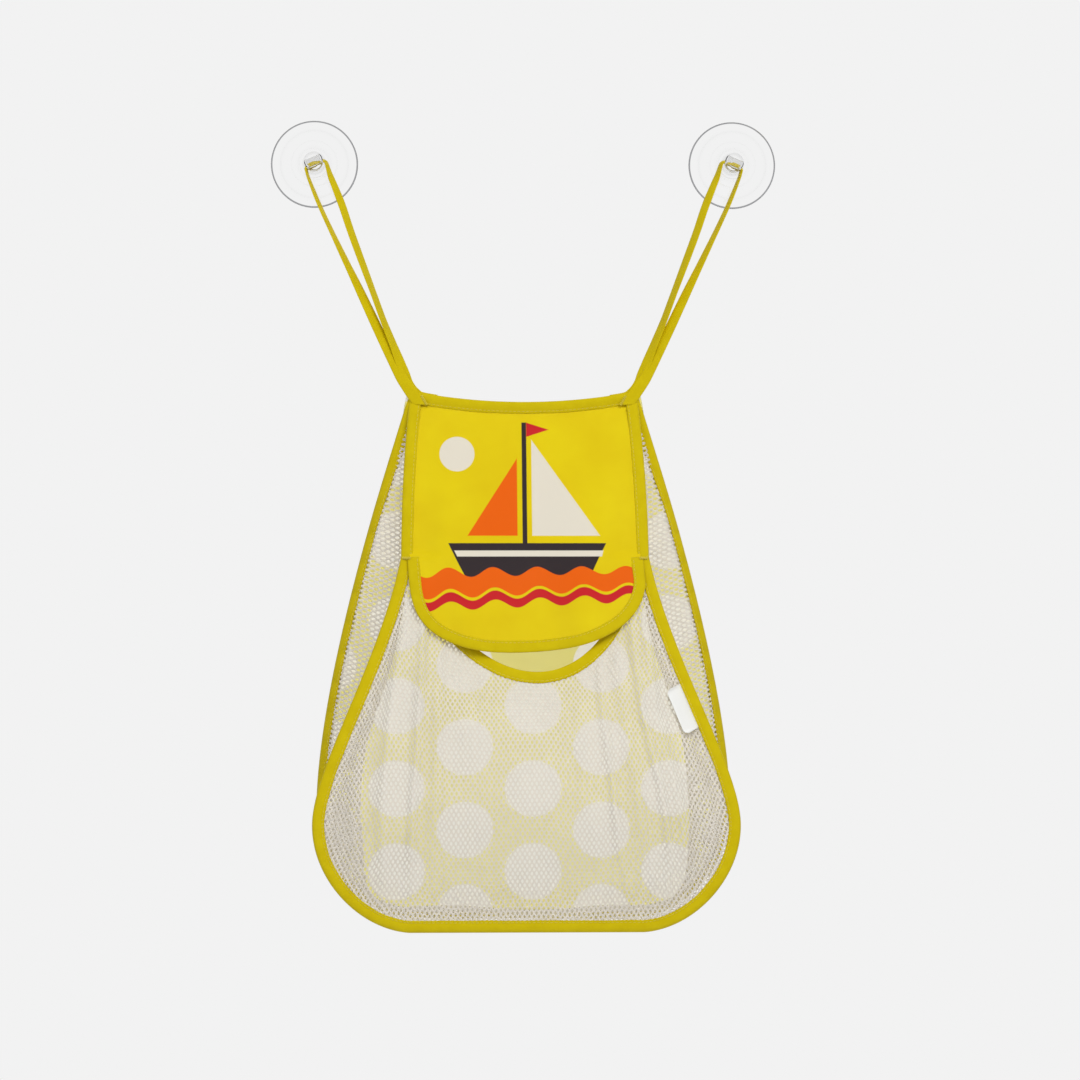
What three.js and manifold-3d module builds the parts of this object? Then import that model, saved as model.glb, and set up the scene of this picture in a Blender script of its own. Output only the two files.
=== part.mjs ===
// Bath toy organizer: a sewn mesh bag that hangs by two tape loops from two suction cups on a wall.
// Millimetres, +Z up. The wall is the plane y = 0 and the front of the bag faces -Y.
// The origin lies on the wall, midway between the centres of the suction cups.

import * as THREE from 'three';
import { mergeVertices } from 'three/addons/utils/BufferGeometryUtils.js';
import Module from 'manifold-3d';

const wasm = await Module();
wasm.setup();

// Suction cups
const CUP_SPACING = 288;
const CUP_RADIUS = 30;
const CUP_RIM_WIDTH = 3;
const CUP_RIM_THICKNESS = 1.2;
const CUP_HOLLOW = 3.6;
const CUP_STEP_RADII = [22.9, 15.4, 9.9];
const CUP_STEP_HEIGHTS = [3.4, 6.6, 9.4];
const CUP_STEP_RISE = 0.8;
const CUP_FACETS = 36;
const KNOB_RADIUS = 6.4;
const KNOB_HEIGHT = 23.4;
const KNOB_ROUNDING = 1.8;
const KNOB_CROWN = 0.4;
const KNOB_SLOT_DEPTH = 9.4;
const KNOB_SLOT_CENTRE = 15.8;
const KNOB_SLOT_ROUNDING = 1.6;
const KNOB_SLOT_CLEARANCE = 1.2;

// Cloth and binding tape
const CLOTH = 0.5;
const TAPE = 0.5;
const TAPE_WIDTH = 8;
const FOLD_RELIEF = 0.2;
const GAP = 0.3;
const WALL_GAP = 0.6;

// Bag: each length runs down from the level before it, the first from the centres of the suction cups
const STRAP_DROP = 156;
const TOP_HALF_WIDTH = 78;
const TOP_SAG = 7.5;
const UPPER_LENGTH = 114;
const TACK_HALF_WIDTH = 84;
const FLARE_LENGTH = 178;
const WIDEST_HALF_WIDTH = 142.5;
const CORNER_HEIGHT = 71;
const BOTTOM_HALF_WIDTH = 78;
const BAG_DEPTH = 93;
const GUSSET_CREASE = 0.07;
const SIDE_CREASE = 0.3;

// Front panel: the scooped neckline, the belly and its soft folds
const NECK_INSET = 12;
const NECK_DEPTH = 77;
const NECK_BULGE = 3;
const BELLY = 15;
const BELLY_RISE = 45;
const FOLD_DEPTH = 2.2;
const FOLDS_PER_SIDE = 4;

// Flap
const FLAP_INSET = 5;
const FLAP_LENGTH = 64;
const FLAP_STRAIGHT_SIDE = 13;
const FLAP_CLEARANCE = 0.5;
const FLAP_FOLD_RADIUS = 0.9;
const TACK_THREAD_RADIUS = 0.6;
const TACK_LENGTH = 8;
const TACK_INSET = 1;

// Hanging loops
const LOOP_SEAT_GAP = 0.5;
const LOOP_CLEARANCE = 0.75;
const LOOP_THICKNESS = 0.9;
const LOOP_BUNCHED_WIDTH = 3.4;
const LOOP_BUNCHED_THICKNESS = 2;
const LOOP_BUNCHED_LENGTH = 70;
const LOOP_BEND = 5;

// Label and strap stitching
const LABEL_DROP = 84;
const LABEL_LENGTH = 31;
const LABEL_WIDTH = 11;
const LABEL_THICKNESS = 0.4;
const LABEL_ROUNDING = 3;
const LABEL_LIFT = 0.5;
const STRAP_TACK_WIDTH = 6;
const STRAP_TACK_HEIGHT = 2;
const STRAP_TACK_THICKNESS = 0.7;

// A seam holds two cloths inside a folded tape, a hem holds one.
const SEAM_HALF = TAPE + 1.5 * GAP + CLOTH;
const HEM_HALF = TAPE + GAP + CLOTH / 2;
const SEAM_PLY = (GAP + CLOTH) / 2;
const EDGE_INSET = SEAM_HALF - FOLD_RELIEF + GAP;
const TAPE_CLEAR = TAPE_WIDTH + 1.5 * GAP;
const BACK_Y = -WALL_GAP - SEAM_HALF;

// Levels and half widths that follow from the lengths above
const TOP_CORNER = -STRAP_DROP;
const FRONT_START = TOP_CORNER - TAPE_CLEAR;
const TACK_HEIGHT = TOP_CORNER - UPPER_LENGTH;
const WIDEST_HEIGHT = TACK_HEIGHT - FLARE_LENGTH;
const BOTTOM_HEIGHT = WIDEST_HEIGHT - CORNER_HEIGHT;
const NECK_BOTTOM = TACK_HEIGHT - NECK_DEPTH;
const FLAP_BOTTOM = TACK_HEIGHT - FLAP_LENGTH;
const LABEL_TOP = TACK_HEIGHT - LABEL_DROP;
const NECK_HALF_WIDTH = TACK_HALF_WIDTH - NECK_INSET;
const FLAP_HALF_WIDTH = TACK_HALF_WIDTH - FLAP_INSET;
const LOOP_CORNER_X = TOP_HALF_WIDTH - TAPE_WIDTH / 2;
const SIDES = [['right', 1], ['left', -1]];

const bag = new THREE.Group();
const { clamp, lerp, smoothstep } = THREE.MathUtils;
const v2 = (x, y) => new THREE.Vector2(x, y);
const v3 = (x, y, z) => new THREE.Vector3(x, y, z);

const finishes = {
  clearPvc: { color: 0xdfe6e4, roughness: 0.12, metalness: 0 },
  yellowTape: { color: 0xd2c52f, roughness: 0.75, metalness: 0 },
  yellowNylon: { color: 0xd9ca12, roughness: 0.5, metalness: 0 },
  paleNylon: { color: 0xe9e48c, roughness: 0.7, metalness: 0 },
  whiteMesh: { color: 0xded8cd, roughness: 0.8, metalness: 0 },
  whiteSatin: { color: 0xf2f1ec, roughness: 0.5, metalness: 0 },
  whiteThread: { color: 0xe8e4d4, roughness: 0.7, metalness: 0 },
};

function addPiece(name, geometry, finish) {
  const mesh = new THREE.Mesh(geometry, new THREE.MeshStandardMaterial(finishes[finish]));
  mesh.name = name;
  bag.add(mesh);
  return mesh;
}

// A closed geometry from shared points and triangles, turned so that its faces point out.
function closedGeometry(points, triangles) {
  let volume = 0;
  for (const [a, b, c] of triangles) {
    volume += points[a].dot(points[b].clone().cross(points[c]));
  }
  const turned = volume < 0 ? triangles.map(([a, b, c]) => [a, c, b]) : triangles;
  const geometry = new THREE.BufferGeometry().setFromPoints(points);
  geometry.setIndex(turned.flat());
  geometry.computeVertexNormals();
  return geometry;
}

// A loft through rings of points. The flat profile, one point for each ring point, shapes the end caps.
function loft(profile, rings) {
  const count = profile.length;
  const points = rings.flat();
  const triangles = [];
  for (let ring = 0; ring < rings.length - 1; ring += 1) {
    for (let k = 0; k < count; k += 1) {
      const a = ring * count + k;
      const b = ring * count + ((k + 1) % count);
      triangles.push([a, b, b + count], [a, b + count, a + count]);
    }
  }
  const last = (rings.length - 1) * count;
  const area = THREE.ShapeUtils.area(profile);
  for (const face of THREE.ShapeUtils.triangulateShape(profile, [])) {
    const faceArea = THREE.ShapeUtils.area(face.map((k) => profile[k]));
    const [a, b, c] = faceArea * area > 0 ? face : [...face].reverse();
    triangles.push([c, b, a], [last + a, last + b, last + c]);
  }
  return closedGeometry(points, triangles);
}

// A thin plate between two grids of points, closed round its rim.
function plate(front, back) {
  const rows = front.length;
  const columns = front[0].length;
  const points = [...front.flat(), ...back.flat()];
  const behind = rows * columns;
  const triangles = [];
  for (let i = 0; i < rows - 1; i += 1) {
    for (let j = 0; j < columns - 1; j += 1) {
      const a = i * columns + j;
      const b = a + columns;
      triangles.push([a, b, b + 1], [a, b + 1, a + 1]);
      triangles.push([behind + a, behind + b + 1, behind + b]);
      triangles.push([behind + a, behind + a + 1, behind + b + 1]);
    }
  }
  const down = front.map((row, i) => i * columns);
  const along = front[0].map((point, j) => j);
  const rim = [
    ...down.slice(0, -1), ...along.slice(0, -1).map((j) => down.at(-1) + j),
    ...down.slice(1).map((start) => start + columns - 1).reverse(), ...along.slice(1).reverse(),
  ];
  rim.forEach((a, k) => {
    const b = rim[(k + 1) % rim.length];
    triangles.push([a, behind + a, behind + b], [a, behind + b, b]);
  });
  return closedGeometry(points, triangles);
}

function toSolid(geometry) {
  const bare = geometry.clone();
  bare.deleteAttribute('normal');
  bare.deleteAttribute('uv');
  const merged = mergeVertices(bare, 1e-4);
  const vertProperties = new Float32Array(merged.attributes.position.array);
  const triVerts = new Uint32Array(merged.index.array);
  return new wasm.Manifold(new wasm.Mesh({ numProp: 3, vertProperties, triVerts }));
}

function fromSolid(solid) {
  const mesh = solid.getMesh();
  const geometry = new THREE.BufferGeometry();
  geometry.setAttribute('position', new THREE.BufferAttribute(mesh.vertProperties, 3));
  geometry.setIndex(new THREE.BufferAttribute(mesh.triVerts, 1));
  geometry.computeVertexNormals();
  return geometry;
}

// Outlines, drawn flat in x and z. The front edge falls almost straight to the tacks and then flares.
const sideCurves = {
  front: [
    new THREE.CubicBezierCurve(v2(TOP_HALF_WIDTH, TOP_CORNER),
      v2(lerp(TOP_HALF_WIDTH, TACK_HALF_WIDTH, 0.75), lerp(TOP_CORNER, TACK_HEIGHT, 0.35)),
      v2(TACK_HALF_WIDTH, lerp(TOP_CORNER, TACK_HEIGHT, 0.7)), v2(TACK_HALF_WIDTH, TACK_HEIGHT)),
    new THREE.CubicBezierCurve(v2(TACK_HALF_WIDTH, TACK_HEIGHT),
      v2(lerp(TACK_HALF_WIDTH, WIDEST_HALF_WIDTH, 0.24), lerp(TACK_HEIGHT, WIDEST_HEIGHT, 0.4)),
      v2(WIDEST_HALF_WIDTH, lerp(TACK_HEIGHT, WIDEST_HEIGHT, 0.79)), v2(WIDEST_HALF_WIDTH, WIDEST_HEIGHT)),
  ],
  back: [
    new THREE.CubicBezierCurve(v2(TOP_HALF_WIDTH, TOP_CORNER),
      v2(lerp(TOP_HALF_WIDTH, WIDEST_HALF_WIDTH, 0.52), lerp(TOP_CORNER, WIDEST_HEIGHT, 0.36)),
      v2(WIDEST_HALF_WIDTH, lerp(TOP_CORNER, WIDEST_HEIGHT, 0.75)), v2(WIDEST_HALF_WIDTH, WIDEST_HEIGHT)),
  ],
  corner: new THREE.CubicBezierCurve(v2(WIDEST_HALF_WIDTH, WIDEST_HEIGHT),
    v2(WIDEST_HALF_WIDTH, lerp(WIDEST_HEIGHT, BOTTOM_HEIGHT, 0.5)),
    v2(lerp(WIDEST_HALF_WIDTH, BOTTOM_HALF_WIDTH, 0.48), lerp(WIDEST_HEIGHT, BOTTOM_HEIGHT, 0.965)),
    v2(BOTTOM_HALF_WIDTH, BOTTOM_HEIGHT)),
};

function shareAtHeight(curve, height) {
  let low = 0;
  let high = 1;
  for (let step = 0; step < 40; step += 1) {
    const middle = (low + high) / 2;
    if (curve.getPoint(middle).y > height) low = middle;
    else high = middle;
  }
  return (low + high) / 2;
}

function frontHalfWidth(z) {
  const curve = z > TACK_HEIGHT ? sideCurves.front[0] : sideCurves.front[1];
  return curve.getPoint(shareAtHeight(curve, z)).x;
}

// A station is a point of an edge with its inward normal in the plane of the cloth.
function station(point, tangent) {
  return { x: point.x, z: point.y, nx: tangent.y, nz: -tangent.x };
}

function sampleCurve(curve, from, steps) {
  const stations = [];
  for (let k = 0; k < steps; k += 1) {
    const t = lerp(from, 1, k / steps);
    stations.push(station(curve.getPoint(t), curve.getTangent(t)));
  }
  return stations;
}

function mirrorStations(right) {
  const left = right.map(({ x, z, nx, nz }) => ({ x: -x, z, nx: -nx, nz })).reverse();
  const bottom = { x: 0, z: BOTTOM_HEIGHT, nx: 0, nz: 1 };
  return [...right, bottom, ...left];
}

const BOTTOM_STATIONS = [
  station(v2(BOTTOM_HALF_WIDTH, BOTTOM_HEIGHT), v2(-1, 0)),
  station(v2(BOTTOM_HALF_WIDTH / 2, BOTTOM_HEIGHT), v2(-1, 0)),
];
const CORNER_STEPS = 10;
const UPPER_STEPS = 5;
const FLARE_STEPS = 8;

const topEdge = (x) => TOP_CORNER - TOP_SAG * (1 - clamp(x / TOP_HALF_WIDTH, -1, 1) ** 2);

// The front of the bag leaves the back under the top tape and slopes out to the full depth at the bottom.
function frontY(x, z) {
  const start = topEdge(x) - TAPE_CLEAR;
  const share = clamp((start - z) / (start - BOTTOM_HEIGHT), 0, 1);
  return BACK_Y - BAG_DEPTH * Math.sin((Math.PI / 2) * share);
}

// Heights where the flap has left the back far enough for the back tape, the front tape and the gusset
function heightAtDepth(depth) {
  return lerp(FRONT_START, BOTTOM_HEIGHT, (2 / Math.PI) * Math.asin(depth / BAG_DEPTH));
}
const WEB_KNEE = SEAM_HALF + GAP + CLOTH;
const SEAMS_PART = heightAtDepth(2 * SEAM_HALF + GAP);
const GUSSET_START = heightAtDepth(2 * WEB_KNEE + 2 * CLOTH);
const BACK_START = heightAtDepth(SEAM_HALF + GAP);

const fromHeight = (curve, height, steps) => sampleCurve(curve, shareAtHeight(curve, height), steps);
const corner = sampleCurve(sideCurves.corner, 0, CORNER_STEPS);
const frontRight = [
  ...fromHeight(sideCurves.front[0], GUSSET_START, UPPER_STEPS),
  ...sampleCurve(sideCurves.front[1], 0, FLARE_STEPS), ...corner, ...BOTTOM_STATIONS,
];
const backRight = [
  ...fromHeight(sideCurves.back[0], GUSSET_START, UPPER_STEPS + FLARE_STEPS), ...corner, ...BOTTOM_STATIONS,
];
const gussetFrontEdge = mirrorStations(frontRight);
const gussetBackEdge = mirrorStations(backRight);
const frontEdge = mirrorStations([fromHeight(sideCurves.front[0], SEAMS_PART, 1)[0], ...frontRight]);
const backEdge = mirrorStations([fromHeight(sideCurves.back[0], BACK_START, 1)[0], ...backRight]);

const onFront = (x, z, t) => v3(x, frontY(x, z) + t, z);
const onBack = (x, z, t) => v3(x, BACK_Y + t, z);
const inset = (edge, d) => ({ x: edge.x + d * edge.nx, z: edge.z + d * edge.nz });

// Binding tape folded over a cloth edge: a U section with a round fold, swept along the edge.
function binding(stations, half, place) {
  const slotEnd = half - FOLD_RELIEF;
  const bend = half * (1 - Math.SQRT1_2);
  const side = half * Math.SQRT1_2;
  const profile = [
    v2(TAPE_WIDTH, -half), v2(half, -half), v2(bend, -side), v2(0, 0), v2(bend, side), v2(half, half),
    v2(TAPE_WIDTH, half), v2(TAPE_WIDTH, half - TAPE), v2(slotEnd, half - TAPE),
    v2(slotEnd, TAPE - half), v2(TAPE_WIDTH, TAPE - half),
  ];
  const rings = stations.map((edge) => profile.map(({ x: d, y: t }) => {
    const { x, z } = inset(edge, d);
    return place(x, z, t);
  }));
  return loft(profile, rings);
}

function buildSuctionCups() {
  const profile = [v2(0, -CUP_HOLLOW)];
  const hollowRadius = CUP_RADIUS - CUP_RIM_WIDTH;
  for (const share of [0.4, 0.75]) {
    profile.push(v2(hollowRadius * share, -CUP_HOLLOW * (1 - share ** 2)));
  }
  profile.push(v2(hollowRadius, 0), v2(CUP_RADIUS, 0), v2(CUP_RADIUS, -CUP_RIM_THICKNESS));
  CUP_STEP_RADII.forEach((radius, k) => {
    profile.push(v2(radius + CUP_STEP_RISE / 2, -CUP_STEP_HEIGHTS[k]));
    profile.push(v2(radius, -CUP_STEP_HEIGHTS[k] - CUP_STEP_RISE));
  });
  const neck = CUP_STEP_HEIGHTS.at(-1) + CUP_STEP_RISE;
  profile.push(v2(KNOB_RADIUS, -neck - CUP_STEP_RISE / 2));
  for (const turn of [0, Math.PI / 4, Math.PI / 2]) {
    const inwards = KNOB_ROUNDING * (1 - Math.cos(turn));
    profile.push(v2(KNOB_RADIUS - inwards, -KNOB_HEIGHT + KNOB_ROUNDING * (1 - Math.sin(turn))));
  }
  profile.push(v2(0, -KNOB_HEIGHT - KNOB_CROWN));
  profile.reverse();

  const slotShape = new THREE.Shape();
  const w = LOOP_BUNCHED_WIDTH / 2 + KNOB_SLOT_CLEARANCE - KNOB_SLOT_ROUNDING;
  const h = KNOB_SLOT_DEPTH / 2 - KNOB_SLOT_ROUNDING;
  slotShape.absarc(w, h, KNOB_SLOT_ROUNDING, 0, Math.PI / 2);
  slotShape.absarc(-w, h, KNOB_SLOT_ROUNDING, Math.PI / 2, Math.PI);
  slotShape.absarc(-w, -h, KNOB_SLOT_ROUNDING, Math.PI, 1.5 * Math.PI);
  slotShape.absarc(w, -h, KNOB_SLOT_ROUNDING, 1.5 * Math.PI, 2 * Math.PI);

  for (const [sideName, side] of SIDES) {
    const body = new THREE.LatheGeometry(profile, CUP_FACETS);
    const cut = new THREE.ExtrudeGeometry(slotShape, {
      depth: 4 * KNOB_RADIUS, bevelEnabled: false, curveSegments: 4,
    });
    cut.translate(0, 0, -2 * KNOB_RADIUS);
    cut.rotateY(Math.PI / 2 + side * SLOT_TILT);
    cut.translate(0, -KNOB_SLOT_CENTRE, 0);
    const slotted = fromSolid(toSolid(body).subtract(toSolid(cut)));
    const cup = addPiece(`suction_cup_${sideName}`, slotted, 'clearPvc');
    cup.position.x = (side * CUP_SPACING) / 2;
  }
}

// The pull of a loop runs from the knob to the bag's top corner, and the knob's slot lies across it.
const SLOT_TILT = Math.atan2(CUP_SPACING / 2 - LOOP_CORNER_X, -topEdge(LOOP_CORNER_X) - LOOP_SEAT_GAP);
const LOOP_EXIT = KNOB_RADIUS + LOOP_BUNCHED_WIDTH / 2 + LOOP_CLEARANCE;

// One length of tape through the knob: up the outer leg, across in the slot and down the inner leg.
function buildHangingLoops() {
  const across = v2(Math.cos(SLOT_TILT), -Math.sin(SLOT_TILT));
  const pull = v2(-Math.sin(SLOT_TILT), -Math.cos(SLOT_TILT));
  const seat = topEdge(LOOP_CORNER_X) + LOOP_SEAT_GAP;
  const fold = v2(LOOP_CORNER_X - CUP_SPACING / 2, seat);
  const foldSide = v2(1, (2 * TOP_SAG * LOOP_CORNER_X) / TOP_HALF_WIDTH ** 2);
  const at = (a, p) => across.clone().multiplyScalar(a).addScaledVector(pull, p);
  const legPoints = (side) => {
    const bend = [0, 1, 2, 3].map((step) => {
      const turn = (step * Math.PI) / 6;
      return at(side * (LOOP_EXIT - LOOP_BEND * (1 - Math.sin(turn))), LOOP_BEND * (1 - Math.cos(turn)));
    });
    const straight = [0.15, 0.4, 0.7, 0.92].map((share) => bend[3].clone().lerp(fold, share));
    return [...bend, ...straight, fold];
  };
  const points = [...legPoints(1).reverse(), ...legPoints(-1)];
  const route = points.map(({ x, y }) => v3(x, 0, y));
  const curve = new THREE.CatmullRomCurve3(route, false, 'centripetal');
  const steps = 3 * (points.length - 1);
  const profile = [v2(-0.5, -0.5), v2(0.5, -0.5), v2(0.5, 0.5), v2(-0.5, 0.5)];

  for (const [sideName, side] of SIDES) {
    const rings = [];
    for (let k = 0; k <= steps; k += 1) {
      const centre = curve.getPoint(k / steps);
      const tangent = curve.getTangent(k / steps);
      const leg = Math.sign(k / steps - 0.5);
      const spread = smoothstep(Math.hypot(centre.x, centre.z), LOOP_EXIT, LOOP_BUNCHED_LENGTH);
      const width = lerp(LOOP_BUNCHED_WIDTH, TAPE_WIDTH, spread);
      const thickness = lerp(LOOP_BUNCHED_THICKNESS, LOOP_THICKNESS, spread);
      const layer = leg * spread * (LOOP_THICKNESS + GAP) / 2;
      const toFold = Math.hypot(centre.x - fold.x, centre.z - fold.y);
      const turn = 1 - smoothstep(toFold, 0, 2 * TAPE_WIDTH);
      const direction = v2(-tangent.z, tangent.x).lerp(foldSide.clone().multiplyScalar(leg), turn);
      rings.push(profile.map(({ x: a, y: b }) => {
        const x = centre.x + direction.x * width * a;
        const z = centre.z + direction.y * width * a;
        const y = lerp(-KNOB_SLOT_CENTRE, BACK_Y, clamp(z / seat, 0, 1)) + layer + thickness * b;
        return v3(side * (x + CUP_SPACING / 2), y, z);
      }));
    }
    addPiece(`hanging_loop_${sideName}`, loft(profile, rings), 'yellowTape');
  }
}

function buildBack() {
  const TOP_POINTS = 12;
  const halfTop = TOP_HALF_WIDTH - EDGE_INSET;
  const points = [];
  for (let k = 0; k <= TOP_POINTS; k += 1) {
    const x = lerp(-halfTop, halfTop, k / TOP_POINTS);
    points.push(v2(x, topEdge(x) - EDGE_INSET));
  }
  for (const edge of backEdge) {
    const { x, z } = inset(edge, EDGE_INSET);
    points.push(v2(x, z));
  }
  const outline = new THREE.Shape(points);
  const geometry = new THREE.ExtrudeGeometry(outline, { depth: CLOTH, bevelEnabled: false });
  geometry.rotateX(Math.PI / 2);
  geometry.translate(0, BACK_Y + SEAM_PLY + CLOTH / 2, 0);
  addPiece('back_panel', geometry, 'paleNylon');
  addPiece('back_binding', binding(backEdge, SEAM_HALF, onBack), 'yellowTape');

  const TOP_STEPS = 14;
  const topStations = [];
  for (let k = 0; k <= TOP_STEPS; k += 1) {
    const x = lerp(-TOP_HALF_WIDTH, TOP_HALF_WIDTH, k / TOP_STEPS);
    topStations.push({ x, z: topEdge(x), nx: 0, nz: -1 });
  }
  addPiece('top_binding', binding(topStations, SEAM_HALF, onBack), 'yellowTape');
}

// Shifts a bent cloth section sideways by its thickness, with mitred bends, in the plane of Y and inward.
function offsetSection(points, inward, thickness) {
  const flat = points.map((point) => v2(point.dot(inward), point.y));
  const sides = flat.slice(1).map((point, k) => {
    const along = point.clone().sub(flat[k]).normalize();
    return v2(-along.y, along.x);
  });
  return points.map((point, k) => {
    const before = sides[Math.max(k - 1, 0)];
    const after = sides[Math.min(k, sides.length - 1)];
    const mitre = before.clone().add(after);
    mitre.multiplyScalar((2 * thickness) / mitre.lengthSq());
    return point.clone().addScaledVector(inward, mitre.x).add(v3(0, mitre.y, 0));
  });
}

// The side and bottom strip: turned-out flanges inside both seam tapes and a creased web between them, which folds
// further in at the sides, where the cloth hangs slack.
function buildGusset() {
  const face = SEAM_PLY - CLOTH / 2;
  const web = TAPE_CLEAR + CLOTH;
  const inside = [];
  const outside = [];
  gussetFrontEdge.forEach((front, k) => {
    const back = gussetBackEdge[k];
    const onFrontEdge = (d, t) => onFront(front.x + d * front.nx, front.z + d * front.nz, t);
    const onBackEdge = (d, t) => onBack(back.x + d * back.nx, back.z + d * back.nz, t);
    const inward = v3(front.nx + back.nx, 0, front.nz + back.nz).normalize();
    const frontKnee = onFrontEdge(web, WEB_KNEE);
    const backKnee = onBackEdge(web, -WEB_KNEE);
    const depth = backKnee.y - frontKnee.y;
    const slack = smoothstep(Math.abs(inward.x), 0.5, 1) * smoothstep(depth, 5, 40);
    const crease = lerp(GUSSET_CREASE, SIDE_CREASE, slack) * depth;
    const webPoints = [0.25, 0.5, 0.75].map((share) => (
      frontKnee.clone().lerp(backKnee, share).addScaledVector(inward, crease * Math.sin(Math.PI * share))
    ));
    const section = [
      onFrontEdge(EDGE_INSET, face), onFrontEdge(web, face), frontKnee, ...webPoints, backKnee,
      onBackEdge(web, -face), onBackEdge(EDGE_INSET, -face),
    ];
    inside.push(section);
    outside.push(offsetSection(section, inward, CLOTH));
  });
  addPiece('gusset', plate(inside, outside), 'whiteMesh');
}

// The neckline of the front panel, from the tack (q = 0) to its lowest point (q = 1)
function neckPoint(q) {
  const turn = (Math.PI / 2) * q;
  return v2(NECK_HALF_WIDTH * Math.cos(turn), lerp(TACK_HEIGHT, NECK_BOTTOM, Math.sin(turn) ** (4 / 3)));
}

const PANEL_START = TACK_HEIGHT - FLAP_FOLD_RADIUS;
const panelTop = fromHeight(sideCurves.front[1], PANEL_START, 1);
const panelRight = [...panelTop, ...frontRight.slice(UPPER_STEPS + 1)];
const panelStations = mirrorStations(panelRight);
const panelSteps = panelRight.length;
const PANEL_ROWS = [0, 0.14, 0.28, 0.42, 0.56, 0.7, 0.85, 1];
const NECK_FLAT = TAPE_CLEAR + CLOTH;
const SEAM_FLAT = TAPE_CLEAR + CLOTH + GAP;
const FLAT_SHARE = 0.35;

// Station k of the neckline, opposite station k of the panel's outer edge
function neckStation(k) {
  const q = 1 - Math.abs(k - panelSteps) / panelSteps;
  const side = Math.sign(panelStations[k].x);
  const point = neckPoint(q);
  const step = 0.001;
  const tangent = neckPoint(q + step).sub(neckPoint(Math.max(q - step, 0))).normalize();
  return { q, x: side * point.x, z: point.y, nx: -side * tangent.y, nz: side === 0 ? -1 : tangent.x };
}

const neckBulge = (x) => NECK_BULGE * Math.cos((Math.PI / 2) * clamp(x / NECK_HALF_WIDTH, -1, 1)) ** 2;

// How far the cloth stands out at a point between the outer seam (share 0) and the neckline (share 1)
function panelBulge(q, share, x, z) {
  const size = smoothstep(frontHalfWidth(z) - Math.abs(x), SEAM_FLAT, SEAM_FLAT + BELLY_RISE);
  const fold = FOLD_DEPTH * Math.cos(2 * Math.PI * FOLDS_PER_SIDE * q);
  const belly = (BELLY + fold) * size * Math.sin(Math.PI * share ** 0.9) ** 1.4;
  return belly + neckBulge(x) * smoothstep(share, 0, 1);
}

// One line of the panel, from its outer edge to the neckline: flat in both tapes and bulging between them
function panelLine(k) {
  const edge = panelStations[k];
  const neck = neckStation(k);
  const room = FLAT_SHARE * Math.hypot(neck.x - edge.x, neck.z - edge.z);
  const seamEnd = inset(edge, Math.min(SEAM_FLAT, room));
  const neckEnd = inset(neck, Math.min(NECK_FLAT, room));
  const bulging = PANEL_ROWS.map((share) => {
    const x = lerp(seamEnd.x, neckEnd.x, share);
    const z = lerp(seamEnd.z, neckEnd.z, share);
    return { x, z, bulge: panelBulge(neck.q, share, x, z) };
  });
  const hem = inset(neck, EDGE_INSET);
  return [{ ...inset(edge, EDGE_INSET), bulge: 0 }, ...bulging, { ...hem, bulge: neckBulge(hem.x) }];
}

const panelGrid = (t) => panelStations.map((edge, k) => (
  panelLine(k).map(({ x, z, bulge }) => onFront(x, z, t - bulge))
));
const panelFront = panelGrid(-SEAM_PLY - CLOTH / 2);

// Depth of the panel's front face under a point, read from the faceted panel itself
function panelFace(x, z) {
  const weights = v3(0, 0, 0);
  const flat = (point) => v3(point.x, 0, point.z);
  for (let i = 0; i < panelFront.length - 1; i += 1) {
    for (let j = 0; j < panelFront[i].length - 1; j += 1) {
      const [a, b] = [panelFront[i][j], panelFront[i + 1][j]];
      const [c, d] = [panelFront[i + 1][j + 1], panelFront[i][j + 1]];
      for (const corners of [[a, b, c], [a, c, d]]) {
        THREE.Triangle.getBarycoord(v3(x, 0, z), ...corners.map(flat), weights);
        if (Math.min(weights.x, weights.y, weights.z) > -1e-6) {
          return weights.dot(v3(...corners.map((point) => point.y)));
        }
      }
    }
  }
  return frontY(x, z) - SEAM_PLY - CLOTH / 2;
}

function buildFrontPanel() {
  addPiece('front_panel', plate(panelFront, panelGrid(-SEAM_PLY + CLOTH / 2)), 'whiteMesh');
  addPiece('front_binding', binding(frontEdge, SEAM_HALF, onFront), 'yellowTape');

  // The neckline tape stops where it would run into the side seams.
  const neckEdge = panelStations.map((edge, k) => neckStation(k)).filter((edge) => {
    const far = inset(edge, TAPE_WIDTH);
    return frontHalfWidth(far.z) - Math.abs(far.x) > TAPE_CLEAR + CLOTH + 2 * GAP;
  });
  const onNeck = (x, z, t) => onFront(x, z, t - SEAM_PLY - neckBulge(x));
  addPiece('neckline_binding', binding(neckEdge, HEM_HALF, onNeck), 'yellowTape');
}

// The fold line of the flap runs straight from tack to tack, just in front of the front tape.
const FLAP_AXIS_Y = frontY(TACK_HALF_WIDTH, TACK_HEIGHT) - 2 * SEAM_HALF;

// The free part of the flap leans out just enough to hang clear of the neckline and the side tapes.
function flapLean() {
  const leans = [0.25, 0.5, 0.75, 1].map((share) => {
    const z = lerp(TACK_HEIGHT, FLAP_BOTTOM, share);
    const neckline = frontY(0, z) - NECK_BULGE - SEAM_PLY - HEM_HALF;
    const sideTape = frontY(FLAP_HALF_WIDTH, z) - SEAM_HALF;
    const free = Math.min(neckline, sideTape) - HEM_HALF - FLAP_CLEARANCE;
    return (FLAP_AXIS_Y - free) / (TACK_HEIGHT - z);
  });
  return Math.max(...leans);
}

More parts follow.
